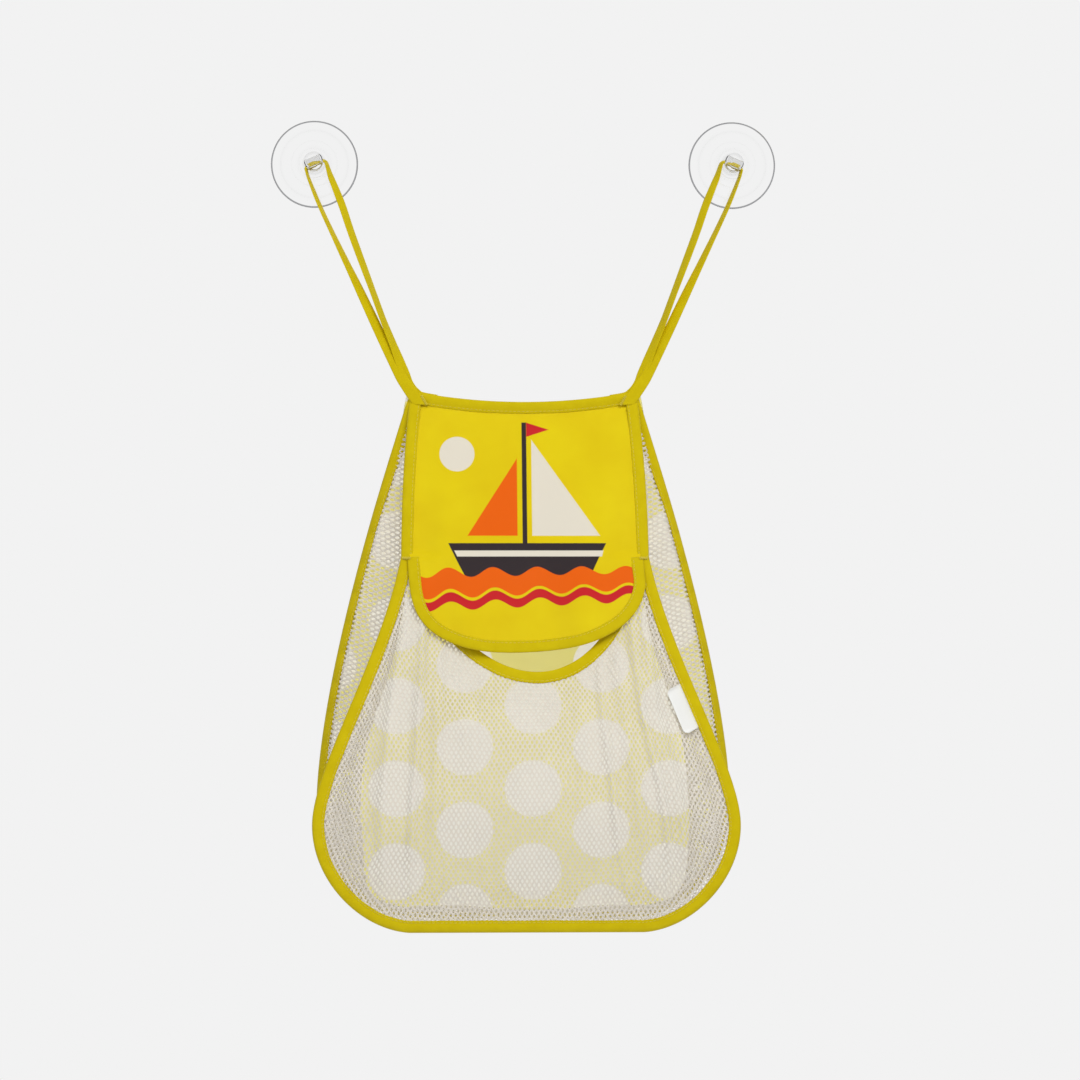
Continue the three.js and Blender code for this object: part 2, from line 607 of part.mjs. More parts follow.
function buildFlap() {
  const columns = [-1, -0.88, -0.78, -0.62, -0.4, -0.2, 0, 0.2, 0.4, 0.62, 0.78, 0.88, 1];
  const foldEdge = TACK_HEIGHT + FLAP_FOLD_RADIUS;
  const looseTo = 0.62 * TACK_HALF_WIDTH;
  const sewnFrom = 0.84 * TACK_HALF_WIDTH;
  const underTape = (TAPE_CLEAR - EDGE_INSET) / (TOP_CORNER - EDGE_INSET - foldEdge);
  const front = [];
  const back = [];
  for (const down of [0, underTape, 0.2, 0.35, 0.5, 0.65, 0.8, 0.9, 1]) {
    const level = lerp(TOP_CORNER - EDGE_INSET, foldEdge, down);
    const half = frontHalfWidth(level) - EDGE_INSET;
    const rowAt = (t) => columns.map((share) => {
      const x = share * half;
      const z = lerp(topEdge(x) - EDGE_INSET, foldEdge, down);
      const middle = 1 - smoothstep(Math.abs(x), looseTo, sewnFrom);
      const reach = FLAP_AXIS_Y + SEAM_PLY - frontY(x, TACK_HEIGHT);
      return onFront(x, z, t - SEAM_PLY + reach * middle * down ** 2);
    });
    front.push(rowAt(-CLOTH / 2));
    back.push(rowAt(CLOTH / 2));
  }
  addPiece('flap_upper', plate(front, back), 'yellowNylon');

  const lean = flapLean();
  const onFlap = (x, z, t) => v3(x, FLAP_AXIS_Y - (TACK_HEIGHT - z) * lean + t, z);
  const top = TACK_HEIGHT - FLAP_FOLD_RADIUS;
  const roundTop = TACK_HEIGHT - FLAP_STRAIGHT_SIDE;
  const depth = roundTop - FLAP_BOTTOM;
  const ROUND_STEPS = 28;
  const hem = [{ x: FLAP_HALF_WIDTH, z: top, nx: -1, nz: 0 }];
  for (let k = 0; k <= ROUND_STEPS; k += 1) {
    const turn = (Math.PI * k) / ROUND_STEPS;
    const normal = v2(-Math.cos(turn) / FLAP_HALF_WIDTH, Math.sin(turn) / depth).normalize();
    const x = FLAP_HALF_WIDTH * Math.cos(turn);
    hem.push({ x, z: roundTop - depth * Math.sin(turn), nx: normal.x, nz: normal.y });
  }
  hem.push({ x: -FLAP_HALF_WIDTH, z: top, nx: 1, nz: 0 });
  addPiece('flap_binding', binding(hem, HEM_HALF, onFlap), 'yellowTape');

  const lower = (t) => hem.map((edge) => {
    const { x, z } = inset(edge, EDGE_INSET);
    return [onFlap(x, top, t), onFlap(x, lerp(top, z, 0.5), t), onFlap(x, z, t)];
  }).slice(1, -1);
  addPiece('flap_lower', plate(lower(-CLOTH / 2), lower(CLOTH / 2)), 'yellowNylon');
}

// Bar tacks: dense rows of thread at the ends of the flap's fold and where the loops are sewn on.
function buildTacks() {
  for (const [sideName, side] of SIDES) {
    const thread = new THREE.CylinderGeometry(TACK_THREAD_RADIUS, TACK_THREAD_RADIUS, TACK_LENGTH, 10);
    thread.rotateZ(Math.PI / 2);
    const flapTack = addPiece(`flap_tack_${sideName}`, thread, 'whiteThread');
    const tackX = TACK_HALF_WIDTH - TACK_INSET - TACK_LENGTH / 2;
    flapTack.position.set(side * tackX, FLAP_AXIS_Y, TACK_HEIGHT);

    const bar = new THREE.CapsuleGeometry(STRAP_TACK_THICKNESS / 2, STRAP_TACK_WIDTH, 3, 8);
    bar.rotateZ(Math.PI / 2);
    bar.scale(1, 1, STRAP_TACK_HEIGHT / STRAP_TACK_THICKNESS);
    const strapTack = addPiece(`strap_tack_${sideName}`, bar, 'yellowTape');
    const level = topEdge(LOOP_CORNER_X) - TAPE_WIDTH / 2;
    const onTape = BACK_Y - SEAM_HALF - GAP - STRAP_TACK_THICKNESS / 2;
    strapTack.position.set(side * (TOP_HALF_WIDTH - STRAP_TACK_WIDTH), onTape, level);
  }
}

// A blank woven label, caught in the right-hand seam beside the front tape.
function buildLabel() {
  const curve = sideCurves.front[1];
  const start = curve.getPoint(shareAtHeight(curve, LABEL_TOP));
  const end = curve.getPoint(shareAtHeight(curve, LABEL_TOP - LABEL_LENGTH));
  const along = end.clone().sub(start).normalize();
  const inward = v2(along.y, -along.x);
  const shape = new THREE.Shape();
  const near = TAPE_CLEAR;
  const far = TAPE_CLEAR + LABEL_WIDTH;
  shape.moveTo(0, near);
  shape.lineTo(LABEL_LENGTH, near);
  shape.lineTo(LABEL_LENGTH, far - LABEL_ROUNDING);
  shape.absarc(LABEL_LENGTH - LABEL_ROUNDING, far - LABEL_ROUNDING, LABEL_ROUNDING, 0, Math.PI / 2);
  shape.absarc(LABEL_ROUNDING, far - LABEL_ROUNDING, LABEL_ROUNDING, Math.PI / 2, Math.PI);
  const profile = shape.extractPoints(4).shape;
  const lift = LABEL_LIFT + LABEL_THICKNESS / 2;
  const ring = (t) => profile.map(({ x: a, y: d }) => {
    const flat = start.clone().addScaledVector(along, a).addScaledVector(inward, d);
    return v3(flat.x, panelFace(flat.x, flat.y) - lift + t, flat.y);
  });
  addPiece('label', loft(profile, [ring(-LABEL_THICKNESS / 2), ring(LABEL_THICKNESS / 2)]), 'whiteSatin');
}

buildSuctionCups();
buildHangingLoops();
buildBack();
buildGusset();
buildFrontPanel();
buildFlap();
buildTacks();
buildLabel();

export default bag;
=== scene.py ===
"""A bath toy organizer: a sewn mesh bag that hangs by two tape loops from two suction cups on a wall.

Sizes are in millimetres, as on a sewing pattern, and MM turns them to metres. The wall is the plane y = 0,
the front faces -Y, and the origin lies on the wall midway between the suction cups.
"""

import math

import bmesh
import bpy
import numpy as np
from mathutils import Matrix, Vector, noise


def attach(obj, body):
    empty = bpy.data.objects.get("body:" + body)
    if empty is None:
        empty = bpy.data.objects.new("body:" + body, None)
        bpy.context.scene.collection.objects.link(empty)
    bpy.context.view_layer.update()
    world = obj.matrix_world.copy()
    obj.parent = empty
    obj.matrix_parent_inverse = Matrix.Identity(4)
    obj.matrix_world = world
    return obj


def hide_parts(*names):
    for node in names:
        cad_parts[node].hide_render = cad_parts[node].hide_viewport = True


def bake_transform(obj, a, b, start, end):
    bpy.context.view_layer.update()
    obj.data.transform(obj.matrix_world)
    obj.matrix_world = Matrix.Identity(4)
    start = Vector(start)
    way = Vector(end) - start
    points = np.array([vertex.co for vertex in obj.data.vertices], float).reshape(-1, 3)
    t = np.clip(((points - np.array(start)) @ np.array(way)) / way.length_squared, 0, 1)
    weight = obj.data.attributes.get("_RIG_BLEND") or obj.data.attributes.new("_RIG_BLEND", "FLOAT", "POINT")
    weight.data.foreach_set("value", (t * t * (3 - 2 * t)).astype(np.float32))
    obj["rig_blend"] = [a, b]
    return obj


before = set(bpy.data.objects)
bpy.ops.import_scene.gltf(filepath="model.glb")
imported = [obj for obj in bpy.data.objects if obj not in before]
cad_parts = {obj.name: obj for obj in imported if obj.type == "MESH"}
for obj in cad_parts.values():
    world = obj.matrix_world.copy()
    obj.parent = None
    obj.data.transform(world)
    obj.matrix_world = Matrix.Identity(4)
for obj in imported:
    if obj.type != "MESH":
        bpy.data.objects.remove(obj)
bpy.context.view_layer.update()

# The photograph's view: a long lens, level with the middle of the bag and standing a little to its left.
# The picture is square and takes in 745 mm of the wall.
MM = 0.001
VIEW_DISTANCE = 2400
VIEW_WIDTH = 745.2
VIEW_CENTRE = (11.4, -258.75)
VIEW_ASIDE = 70
SENSOR_WIDTH = 36

camera_data = bpy.data.cameras.new("product_camera")
camera_data.sensor_width = SENSOR_WIDTH
camera_data.lens = SENSOR_WIDTH * VIEW_DISTANCE / VIEW_WIDTH
camera = bpy.data.objects.new("product_camera", camera_data)
camera.location = ((VIEW_CENTRE[0] - VIEW_ASIDE) * MM, -VIEW_DISTANCE * MM, VIEW_CENTRE[1] * MM)
camera.rotation_euler = (math.pi / 2, 0, -math.atan2(VIEW_ASIDE, VIEW_DISTANCE))
bpy.context.scene.collection.objects.link(camera)
bpy.context.scene.camera = camera
bpy.context.scene.view_settings.view_transform = "Standard"


# Suction cups: each is moulded in one piece from soft clear PVC, with a hollow back, three low steps and a
# thick knob. A slot through the knob takes the strap, and it lies across the strap's pull.
def srgb(code):
    """A hex colour code as the linear red, green, blue and alpha that a shader takes."""
    parts = [int(code[k:k + 2], 16) / 255 for k in (1, 3, 5)]
    return [c / 12.92 if c <= 0.04045 else ((c + 0.055) / 1.055) ** 2.4 for c in parts] + [1]


def feed(tree, node, inputs):
    """Sets a node's inputs to values, or links them from sockets or from the outputs of other nodes."""
    for name, value in inputs.items():
        if isinstance(value, bpy.types.Node):
            value = next(socket for socket in value.outputs if socket.enabled)
        if isinstance(value, bpy.types.NodeSocket):
            tree.links.new(value, node.inputs[name])
        else:
            node.inputs[name].default_value = value


def add_node(tree, kind, inputs=None, **settings):
    """Adds a shader node, with its settings and inputs."""
    node = tree.nodes.new("ShaderNode" + kind)
    for key, value in settings.items():
        setattr(node, key, value)
    feed(tree, node, inputs or {})
    return node


def start_material(name):
    """A new material, its node tree and its surface node."""
    material = bpy.data.materials.new(name)
    material.use_nodes = True
    tree = material.node_tree
    return material, tree, tree.nodes["Principled BSDF"]


def make_piece(name, points, faces, material, cloth, smooth=True):
    """A mesh object from points in millimetres. Cloth gives each point's place on the flat cloth."""
    mesh = bpy.data.meshes.new(name)
    mesh.from_pydata((np.asarray(points, float) * MM).tolist(), [], [tuple(map(int, f)) for f in faces])
    corners = np.zeros(len(mesh.loops), int)
    mesh.loops.foreach_get("vertex_index", corners)
    layer = mesh.uv_layers.new(name="cloth_mm")
    layer.data.foreach_set("uv", np.asarray(cloth, float)[corners].ravel())
    shell = bmesh.new()
    shell.from_mesh(mesh)
    bmesh.ops.recalc_face_normals(shell, faces=shell.faces)
    shell.to_mesh(mesh)
    shell.free()
    mesh.polygons.foreach_set("use_smooth", [smooth] * len(mesh.polygons))
    mesh.materials.append(material)
    piece = bpy.data.objects.new(name, mesh)
    bpy.context.scene.collection.objects.link(piece)
    return piece


def fasten(piece, body, slot, *nodes):
    """Puts a piece on its body, in place of the solids that it stands for."""
    if "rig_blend" not in piece:
        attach(piece, body)
    if nodes:
        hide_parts(*nodes)


def loft(rings):
    """Faces between rings of equally many points, with a cap at each end."""
    size, last = len(rings[0]), (len(rings) - 1) * len(rings[0])
    faces = []
    for a in range(0, last, size):
        b = a + size
        faces += [(a + k, a + (k + 1) % size, b + (k + 1) % size, b + k) for k in range(size)]
    return faces + [tuple(range(size))[::-1], tuple(range(last, last + size))]


def full_turn(count):
    """Equal angles all the way round."""
    return np.linspace(0, 2 * math.pi, count, endpoint=False)


def rounded(points, radius):
    """A polyline with each inner corner cut by a small curve."""
    points = [np.array(p, float) for p in points]
    line = [points[0]]
    for before, corner, after in zip(points, points[1:], points[2:]):
        cut = [min(radius, 0.45 * np.linalg.norm(end - corner)) for end in (before, after)]
        start = corner + (before - corner) / np.linalg.norm(before - corner) * cut[0]
        end = corner + (after - corner) / np.linalg.norm(after - corner) * cut[1]
        line += [(1 - t) ** 2 * start + 2 * t * (1 - t) * corner + t * t * end for t in (0, 0.33, 0.67, 1)]
    return line + [points[-1]]


# Soft clear PVC, moulded: a glossy skin with a slight ripple and a little haze. The sharp edges of the rim,
# the steps and the knob catch no light from the front, so grey shade is painted on them as thin lines.
RIPPLE_SIZE = 9
clear_pvc, tree, surface = start_material("clear_moulded_pvc")
edge = add_node(tree, "SeparateXYZ", {"Vector": add_node(tree, "UVMap", uv_map="cloth_mm")})
# Painted shade: grey mixed into the clear colour on the rim, the steps' edges, the knob and the slot's walls.
tint = add_node(tree, "Mix", {"Factor": edge, "A": srgb("#FEFEFE"), "B": srgb("#33353A")}, data_type="RGBA")
place = add_node(tree, "TexCoord").outputs["Object"]
ripple = add_node(tree, "TexNoise", {"Vector": place, "Scale": 1 / (RIPPLE_SIZE * MM), "Detail": 2})
haze = add_node(tree, "MapRange", {"Value": ripple, "To Min": 0.0, "To Max": 0.015})
bump = add_node(tree, "Bump", {"Height": ripple, "Strength": 0.02, "Distance": MM})
feed(tree, surface, {"Base Color": tint, "Roughness": haze, "Normal": bump, "Transmission Weight": 1,
                     "IOR": 1.53})

SIDES = ((1, "right"), (-1, "left"))
CUP_X = 144
CUP_FACETS = 112
HOLLOW_RADIUS, HOLLOW_DEPTH = 27, 3.6
KNOB_RADIUS = 6.4
SLOT_DEPTH = 15.8  # from the wall to the middle of the slot
SLOT_HALF_HEIGHT, SLOT_HALF_DEPTH, SLOT_HALF_LENGTH = 2.9, 4.7, 9
SLOT_ROUNDING = 0.7
PULL_ASIDE, PULL_DOWN = 70, 156.25
PULL_TILT = math.atan2(PULL_ASIDE, PULL_DOWN)
# Rings of painted grey shade: from one radius to another, and how grey. The slot's walls get painted shade
# too.
EDGE_PAINTED_SHADES = [(28.95, 30.1, 0.9), (22.6, 23.5, 0.04), (15.2, 16.0, 0.04), (9.7, 10.5, 0.04), (5.6, 6.6, 0.3)]
SLOT_PAINTED_SHADE = 0.25

hollow = [(r, -HOLLOW_DEPTH * (1 - (r / HOLLOW_RADIUS) ** 2)) for r in np.linspace(0.01, HOLLOW_RADIUS, 14)]
rim = [(29.0, 0), (29.4, 0), (29.8, -0.2), (30, -0.6), (29.8, -1), (29.4, -1.18), (29.0, -1.3)]
steps = rounded([(28.8, -1.38), (23.4, -3.4), (22.8, -4.3), (15.9, -6.6), (15.3, -7.5), (10.4, -9.4),
                 (9.8, -10.3), (KNOB_RADIUS, -10.7), (KNOB_RADIUS, -23.4), (0.01, -23.8)], 0.9)
cup_profile = hollow + rim + [tuple(p) for p in steps]
# How much painted grey shade each ring of the profile gets.
cup_tint = [max([0] + [grey for low, high, grey in EDGE_PAINTED_SHADES if low <= r <= high and y < 0])
            for r, y in cup_profile]
turns = full_turn(CUP_FACETS)

for side, side_name in SIDES:
    rings = [[(side * CUP_X + r * math.sin(t), y, r * math.cos(t)) for t in turns] for r, y in cup_profile]
    tints = np.stack([np.repeat(cup_tint, CUP_FACETS), np.tile(turns, len(rings))], -1)
    cup = make_piece(f"suction_cup_{side_name}_clear", np.reshape(rings, (-1, 3)), loft(rings), clear_pvc,
                     tints)
    across = np.array((side * math.cos(PULL_TILT), 0, -math.sin(PULL_TILT)))
    pull = np.array((-side * math.sin(PULL_TILT), 0, -math.cos(PULL_TILT)))
    h, d = SLOT_HALF_HEIGHT, SLOT_HALF_DEPTH
    outline = rounded([(0, -d), (h, -d), (h, d), (-h, d), (-h, -d), (0, -d)], SLOT_ROUNDING)[:-1]
    middle = np.array((side * CUP_X, -SLOT_DEPTH, 0))
    slot_rings = [[middle + a * across + p * pull + np.array((0, y, 0)) for p, y in outline]
                  for a in (-SLOT_HALF_LENGTH, SLOT_HALF_LENGTH)]
    # The cutter's UV map gives the slot's walls their painted shade.
    cutter = make_piece("slot_cutter", np.reshape(slot_rings, (-1, 3)), loft(slot_rings), clear_pvc,
                        np.full((2 * len(outline), 2), SLOT_PAINTED_SHADE))
    cut = cup.modifiers.new("slot", "BOOLEAN")
    cut.object = cutter
    cut.solver = "EXACT"
    slotted = bpy.data.meshes.new_from_object(cup.evaluated_get(bpy.context.evaluated_depsgraph_get()))
    cup.modifiers.clear()
    cup.data = slotted
    bpy.data.objects.remove(cutter)
    cup.data.polygons.foreach_set("use_smooth", [True] * len(cup.data.polygons))
    cup.visible_shadow = False  # clear plastic casts next to no shadow
    fasten(cup, "cups", "clear_pvc", f"suction_cup_{side_name}")


# Hanging loops: each is one length of yellow nylon tape, folded double and stitched shut. It runs through the
# knob's slot, bunched and on edge, then its two legs turn flat, meet at the bag's corner and are sewn down.
def lerp(a, b, share):
    return a + (b - a) * share


def smoothstep(value, low, high):
    share = np.clip((np.asarray(value, float) - low) / (high - low), 0, 1)
    return share * share * (3 - 2 * share)


def unit(rows):
    """Each row as a vector of length 1."""
    rows = np.asarray(rows, float)
    return rows / np.linalg.norm(rows, axis=-1, keepdims=True)


def lengths_along(points):
    """How far along a line each of its points lies."""
    return np.concatenate([[0], np.cumsum(np.linalg.norm(np.diff(points, axis=0), axis=1))])


def resample(points, step):
    """A line of points as stations about one step apart."""
    points = np.asarray(points, float)
    along = lengths_along(points)
    stations = np.linspace(0, along[-1], max(2, int(round(along[-1] / step)) + 1))
    return np.stack([np.interp(stations, along, points[:, k]) for k in range(points.shape[1])], axis=1)


def curve_through(points, count):
    """A smooth line through points."""
    p = np.asarray(points, float)
    p = np.vstack([2 * p[0] - p[1], p, 2 * p[-1] - p[-2]])
    line = []
    for k in range(1, len(p) - 2):
        for t in np.linspace(0, 1, count, endpoint=False):
            line.append(0.5 * (2 * p[k] + (p[k + 1] - p[k - 1]) * t
                               + (2 * p[k - 1] - 5 * p[k] + 4 * p[k + 1] - p[k + 2]) * t ** 2
                               + (3 * p[k] - p[k - 1] - 3 * p[k + 1] + p[k + 2]) * t ** 3))
    return np.array(line + [p[-2]])


def cloth_grid(across, stations):
    """Places on the flat cloth, station by station."""
    return np.stack(np.meshgrid(across, stations), -1).reshape(-1, 2)


WAVE_BANDS = 3.1831  # bands to the unit in a wave texture of scale 1
THREAD_RELIEF = 0.2


def woven_material(name, colour, shade, thread, roughness, sheen, weave_height, patches):
    """Plain-woven cloth or tape: two sets of threads, soft patches of shade, and the sheen of fine fibres.

    Thread is the spacing in millimetres on the flat cloth. Patches are a size and the share of shade.
    """
    material, tree, surface = start_material(name)
    cloth = add_node(tree, "UVMap", uv_map="cloth_mm")
    sets = []
    for axis in ("X", "Y"):
        wave = add_node(tree, "TexWave", {"Vector": cloth, "Scale": 1 / thread / WAVE_BANDS,
                                          "Distortion": 0.6, "Detail": 1, "Detail Scale": 2},
                        bands_direction=axis)
        sets.append(wave.outputs["Fac"])
    weave = add_node(tree, "Math", {0: sets[0], 1: sets[1]}, operation="MULTIPLY")
    patch = add_node(tree, "TexNoise", {"Vector": cloth, "Scale": 1 / patches[0], "Detail": 3})
    shading = add_node(tree, "MapRange", {"Value": patch, "From Min": 0.3, "From Max": 0.7, "To Min": 0,
                                          "To Max": patches[1]})
    ground = add_node(tree, "Mix", {"Factor": shading, "A": srgb(colour), "B": srgb(shade)}, data_type="RGBA")
    gaps = add_node(tree, "MapRange", {"Value": weave, "To Min": weave_height, "To Max": 0})
    threads = add_node(tree, "Mix", {"Factor": gaps, "A": ground, "B": srgb(shade)}, data_type="RGBA")
    gloss = add_node(tree, "MapRange", {"Value": patch, "To Min": roughness - 0.08,
                                        "To Max": roughness + 0.08})
    relief = add_node(tree, "Bump", {"Height": weave, "Strength": weave_height,
                                     "Distance": THREAD_RELIEF * MM})
    feed(tree, surface, {"Base Color": threads, "Roughness": gloss, "Normal": relief, "Sheen Weight": sheen,
                         "Sheen Roughness": 0.4, "Specular IOR Level": 0.12})
    return material, tree, surface, threads, cloth


# Nylon grosgrain tape: close cross ribs about 0.6 mm apart, slightly silky. They are drawn 0.9 mm apart, so
# that they show.
yellow_tape = woven_material("woven_nylon_tape", "#D0BC08", "#BEA600", 0.9, 0.55, 0.08, 0.14, (9, 0.4))[0]

CORNER_X = 78
TAPE_WIDTH = 8
STRAP_STEP = 1.2
STRAP_THICKNESS, BUNCHED_THICKNESS = 1.1, 3.2
STRAP_WIDTH, BUNCHED_WIDTH, END_SPREAD = 7.6, 6.2, 0.9
STRAP_IN_SLOT = 1.5  # how far below the middle of the slot the strap bears
CUT_REACH = 12
# The right-hand strap's line: the outer leg from its sewn end over the corner up to the knob, the bend
# through the slot, measured across and along the pull, and the inner leg down to its own sewn end.
OUTER_LEG = [(70.5, -4.6, -165.8), (73.9, -4.7, -161.6), (77.4, -4.7, -157.0), (81.0, -4.6, -151.8),
             (84.8, -4.6, -145.8), (91.2, -5.4, -133.0), (98.7, -6.6, -117.2), (112.1, -9.2, -88.6),
             (125.8, -11.9, -60.0), (139.2, -14.4, -31.4), (147.0, -15.5, -12.3)]
SLOT_BEND = [(7.1, 2.6), (6.8, 1.0), (5.6, 0.2), (0, 0), (-5.6, 0.2), (-7.0, 1.0), (-7.6, 2.8)]
INNER_LEG = [(132.6, -15.6, -9.4), (129.3, -15.2, -17.5), (124.0, -14.0, -31.3), (117.6, -12.3, -50.4),
             (103.6, -8.8, -88.3), (96.6, -6.6, -107.5), (88.9, -4.4, -126.6), (82.2, -3.0, -144.0),
             (80.4, -2.5, -149.6), (78.0, -2.2, -154.0), (74.8, -2.0, -157.6), (70.6, -2.0, -160.4),
             (60.0, -2.0, -162.4)]
# Distances from the knob, and how many degrees each leg is turned there.
OUTER_TWIST = ((5, 20, 50, 75, 95, 115, 140, 155, 170), (12, 22, 26, 36, 50, 60, 68, 78, 90))
INNER_TWIST = ((5, 15, 30, 52, 95, 115, 135, 150, 165), (12, 40, 49, 41, 32, 33, 42, 62, 90))


def ribbon(path, widths, twists, thickness):
    """Rings of a soft flat strap. At twist 0 its width lies along y, and at 90 it lies flat to the wall."""
    along = unit(np.gradient(path, axis=0))
    flat = unit(np.cross(along, (0, 1, 0)))
    edge = unit(np.cross(flat, along))
    angle = np.radians(twists)[:, None]
    wide = np.cos(angle) * edge + np.sin(angle) * flat
    thick = unit(np.cross(wide, along))
    turns = full_turn(20)
    w = np.sign(np.cos(turns)) * np.abs(np.cos(turns)) ** 0.35
    t = np.sign(np.sin(turns)) * np.abs(np.sin(turns)) ** 0.75
    crown = 1 - 0.25 * np.abs(w) ** 6
    rings = (path[:, None] + wide[:, None] * (w * widths[:, None] / 2)[..., None]
             + thick[:, None] * (t * crown * thickness[:, None] / 2)[..., None])
    return rings, cloth_grid(w * TAPE_WIDTH / 2, lengths_along(path))


tilt = np.array((math.cos(PULL_TILT), 0, -math.sin(PULL_TILT)))
drop = np.array((-math.sin(PULL_TILT), 0, -math.cos(PULL_TILT)))
knob = np.array((CUP_X, -SLOT_DEPTH, 0)) + STRAP_IN_SLOT * drop
bend = [knob + across * tilt + down * drop for across, down in SLOT_BEND]
right_route = curve_through(np.vstack([OUTER_LEG, bend, INNER_LEG]), 14)
for side, side_name in SIDES:
    path = resample(right_route * (side, 1, 1), STRAP_STEP)
    height = path[:, 2]
    from_knob = np.linalg.norm(path[:, [0, 2]] - knob[[0, 2]] * (side, 1), axis=1)
    at_knob = 1 - smoothstep(from_knob, 3.5, 8)
    inner = np.arange(len(path)) > np.argmin(from_knob)
    widths = lerp(BUNCHED_WIDTH, STRAP_WIDTH, smoothstep(from_knob, 6, 80))
    widths = widths + END_SPREAD * smoothstep(-height, 138, 160) * ~inner
    outer_twist, inner_twist = np.interp(from_knob, *OUTER_TWIST), np.interp(from_knob, *INNER_TWIST)
    twists = np.where(inner, -inner_twist, outer_twist) * side
    thickness = lerp(STRAP_THICKNESS, BUNCHED_THICKNESS, at_knob)
    rings, cloth = ribbon(path, widths, twists, thickness)
    # The sewn end is cut level, along the lower edge of the top binding.
    heading = unit(path[0] - path[4])
    near_end = np.clip(1 - np.arange(len(path)) * STRAP_STEP / CUT_REACH, 0, 1)[:, None]
    level_cut = (path[:1, 2:3] - rings[..., 2] + (path[:, 2:3] - path[:1, 2:3])) / heading[2]
    rings += (level_cut * near_end)[..., None] * heading
    loop = make_piece(f"hanging_loop_{side_name}_tape", rings.reshape(-1, 3), loft(rings), yellow_tape, cloth)
    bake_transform(loop, "loops", "bag", (side * 82 * MM, -0.003, -0.150), (side * 77 * MM, -0.003, -0.160))
    fasten(loop, "loops", "yellow_tape", f"hanging_loop_{side_name}")


# Back panel: pale yellow woven nylon with printed white dots, cut to the outline of the back and sewn into
# the back seam and the top binding. It hangs flat against the wall, a little slack.
def bezier(points, count):
    a, b, c, d = (np.array(p, float) for p in points)
    t = np.linspace(0, 1, count)[:, None]
    return (1 - t) ** 3 * a + 3 * t * (1 - t) ** 2 * b + 3 * t * t * (1 - t) * c + t ** 3 * d


TOP_Z, TACK_Z, WIDEST_Z, BOTTOM_Z = -156, -270, -448, -519
TACK_HALF, WIDEST_HALF, BOTTOM_HALF = 84, 142.5, 78
TOP_SAG = 7.5
BACK_Y, BAG_DEPTH = -2.05, 93
RAW_EDGE = 1.6  # from the outside of a seam to the cut edge of the cloth inside its tape
SEAM_PLY = 0.4
SEAM_TURN = 46
CURL_WIDTH, CURL_END = 5.4, 24
top_corner, tack = (CORNER_X, TOP_Z), (TACK_HALF, TACK_Z)
widest, bottom_corner = (WIDEST_HALF, WIDEST_Z), (BOTTOM_HALF, BOTTOM_Z)
flare_line = bezier([tack, (98.04, -341.2), (142.5, -410.62), widest], 61)
corner_line = bezier([widest, (142.5, -483.5), (111.54, -516.515), bottom_corner], 41)
lower_line = np.vstack([corner_line[1:], np.linspace(bottom_corner, (0, BOTTOM_Z), 21)[1:]])
front_right = np.vstack([bezier([top_corner, (82.5, -195.9), (84, -235.8), tack], 41), flare_line[1:],
                         lower_line])
back_right = np.vstack([bezier([top_corner, (111.54, -261.12), (142.5, -375), widest], 81), lower_line])


def top_edge(x):
    return TOP_Z - TOP_SAG * (1 - np.clip(x / CORNER_X, -1, 1) ** 2)


def half_width(line, z):
    """Half the width of a panel at a height."""
    return np.interp(-np.asarray(z, float), -line[:, 1], line[:, 0])


def mirrored(right_line):
    """A line down the right side, on round the bottom and up the left side."""
    flip = [-1] + [1] * (right_line.shape[1] - 1)
    return np.vstack([right_line, right_line[-2::-1] * flip])


def gap_to(line, x, z):
    """How far points are from a line, all seen from the front."""
    line = resample(line, 1.5)
    flat = np.stack(np.broadcast_arrays(x, z), -1).reshape(-1, 2).astype(float)
    gaps = np.concatenate([np.sqrt(((part[:, None] - line[None]) ** 2).sum(-1).min(1))
                           for part in np.array_split(flat, 1 + len(flat) // 4000)])
    return gaps.reshape(np.broadcast(x, z).shape)


def seam_lean(z):
    """How steeply the back seam turns forward, where the gusset pulls at it."""
    return math.tan(math.radians(SEAM_TURN)) * smoothstep(-np.asarray(z, float), 172, 250)


def back_y(x, z):
    """Where the back cloth lies: flat on the wall, with its sewn edge curled forward."""
    gap = gap_to(mirrored(back_right), x, z)
    curl = np.where(gap < CURL_WIDTH, gap, CURL_WIDTH * (1 - smoothstep(gap, CURL_WIDTH, CURL_END)))
    return BACK_Y - seam_lean(z) * curl


def sheet_mesh(front, thickness):
    """A closed thin sheet from a grid of points: the grid, and the same again behind it."""
    du, dv = np.gradient(front, axis=0), np.gradient(front, axis=1)
    back = front + unit(np.cross(du, dv)) * thickness
    rows, columns = front.shape[:2]
    index = np.arange(rows * columns).reshape(rows, columns)
    quads = np.stack([index[:-1, :-1], index[:-1, 1:], index[1:, 1:], index[1:, :-1]], -1).reshape(-1, 4)
    rim = np.concatenate([index[0, :-1], index[:-1, -1], index[-1, :0:-1], index[:0:-1, 0]])
    behind = rows * columns
    edge = [(a, a + behind, b + behind, b) for a, b in zip(rim, np.roll(rim, -1))]
    points = np.concatenate([front.reshape(-1, 3), back.reshape(-1, 3)])
    return points, [*quads, *(quads[:, ::-1] + behind), *edge]


def let_light_through(tree, surface, colour, share):
    """Lets a share of the light through, as thin cloth does.

    Light passes both faces of a sheet, so each face has the root of the colour.
    """
    root = add_node(tree, "Gamma", {"Color": colour, "Gamma": 0.5})
    glow = add_node(tree, "BsdfTranslucent", {"Color": root})
    both = add_node(tree, "MixShader", {0: share, 1: surface, 2: glow})
    feed(tree, tree.nodes["Material Output"], {"Surface": both})


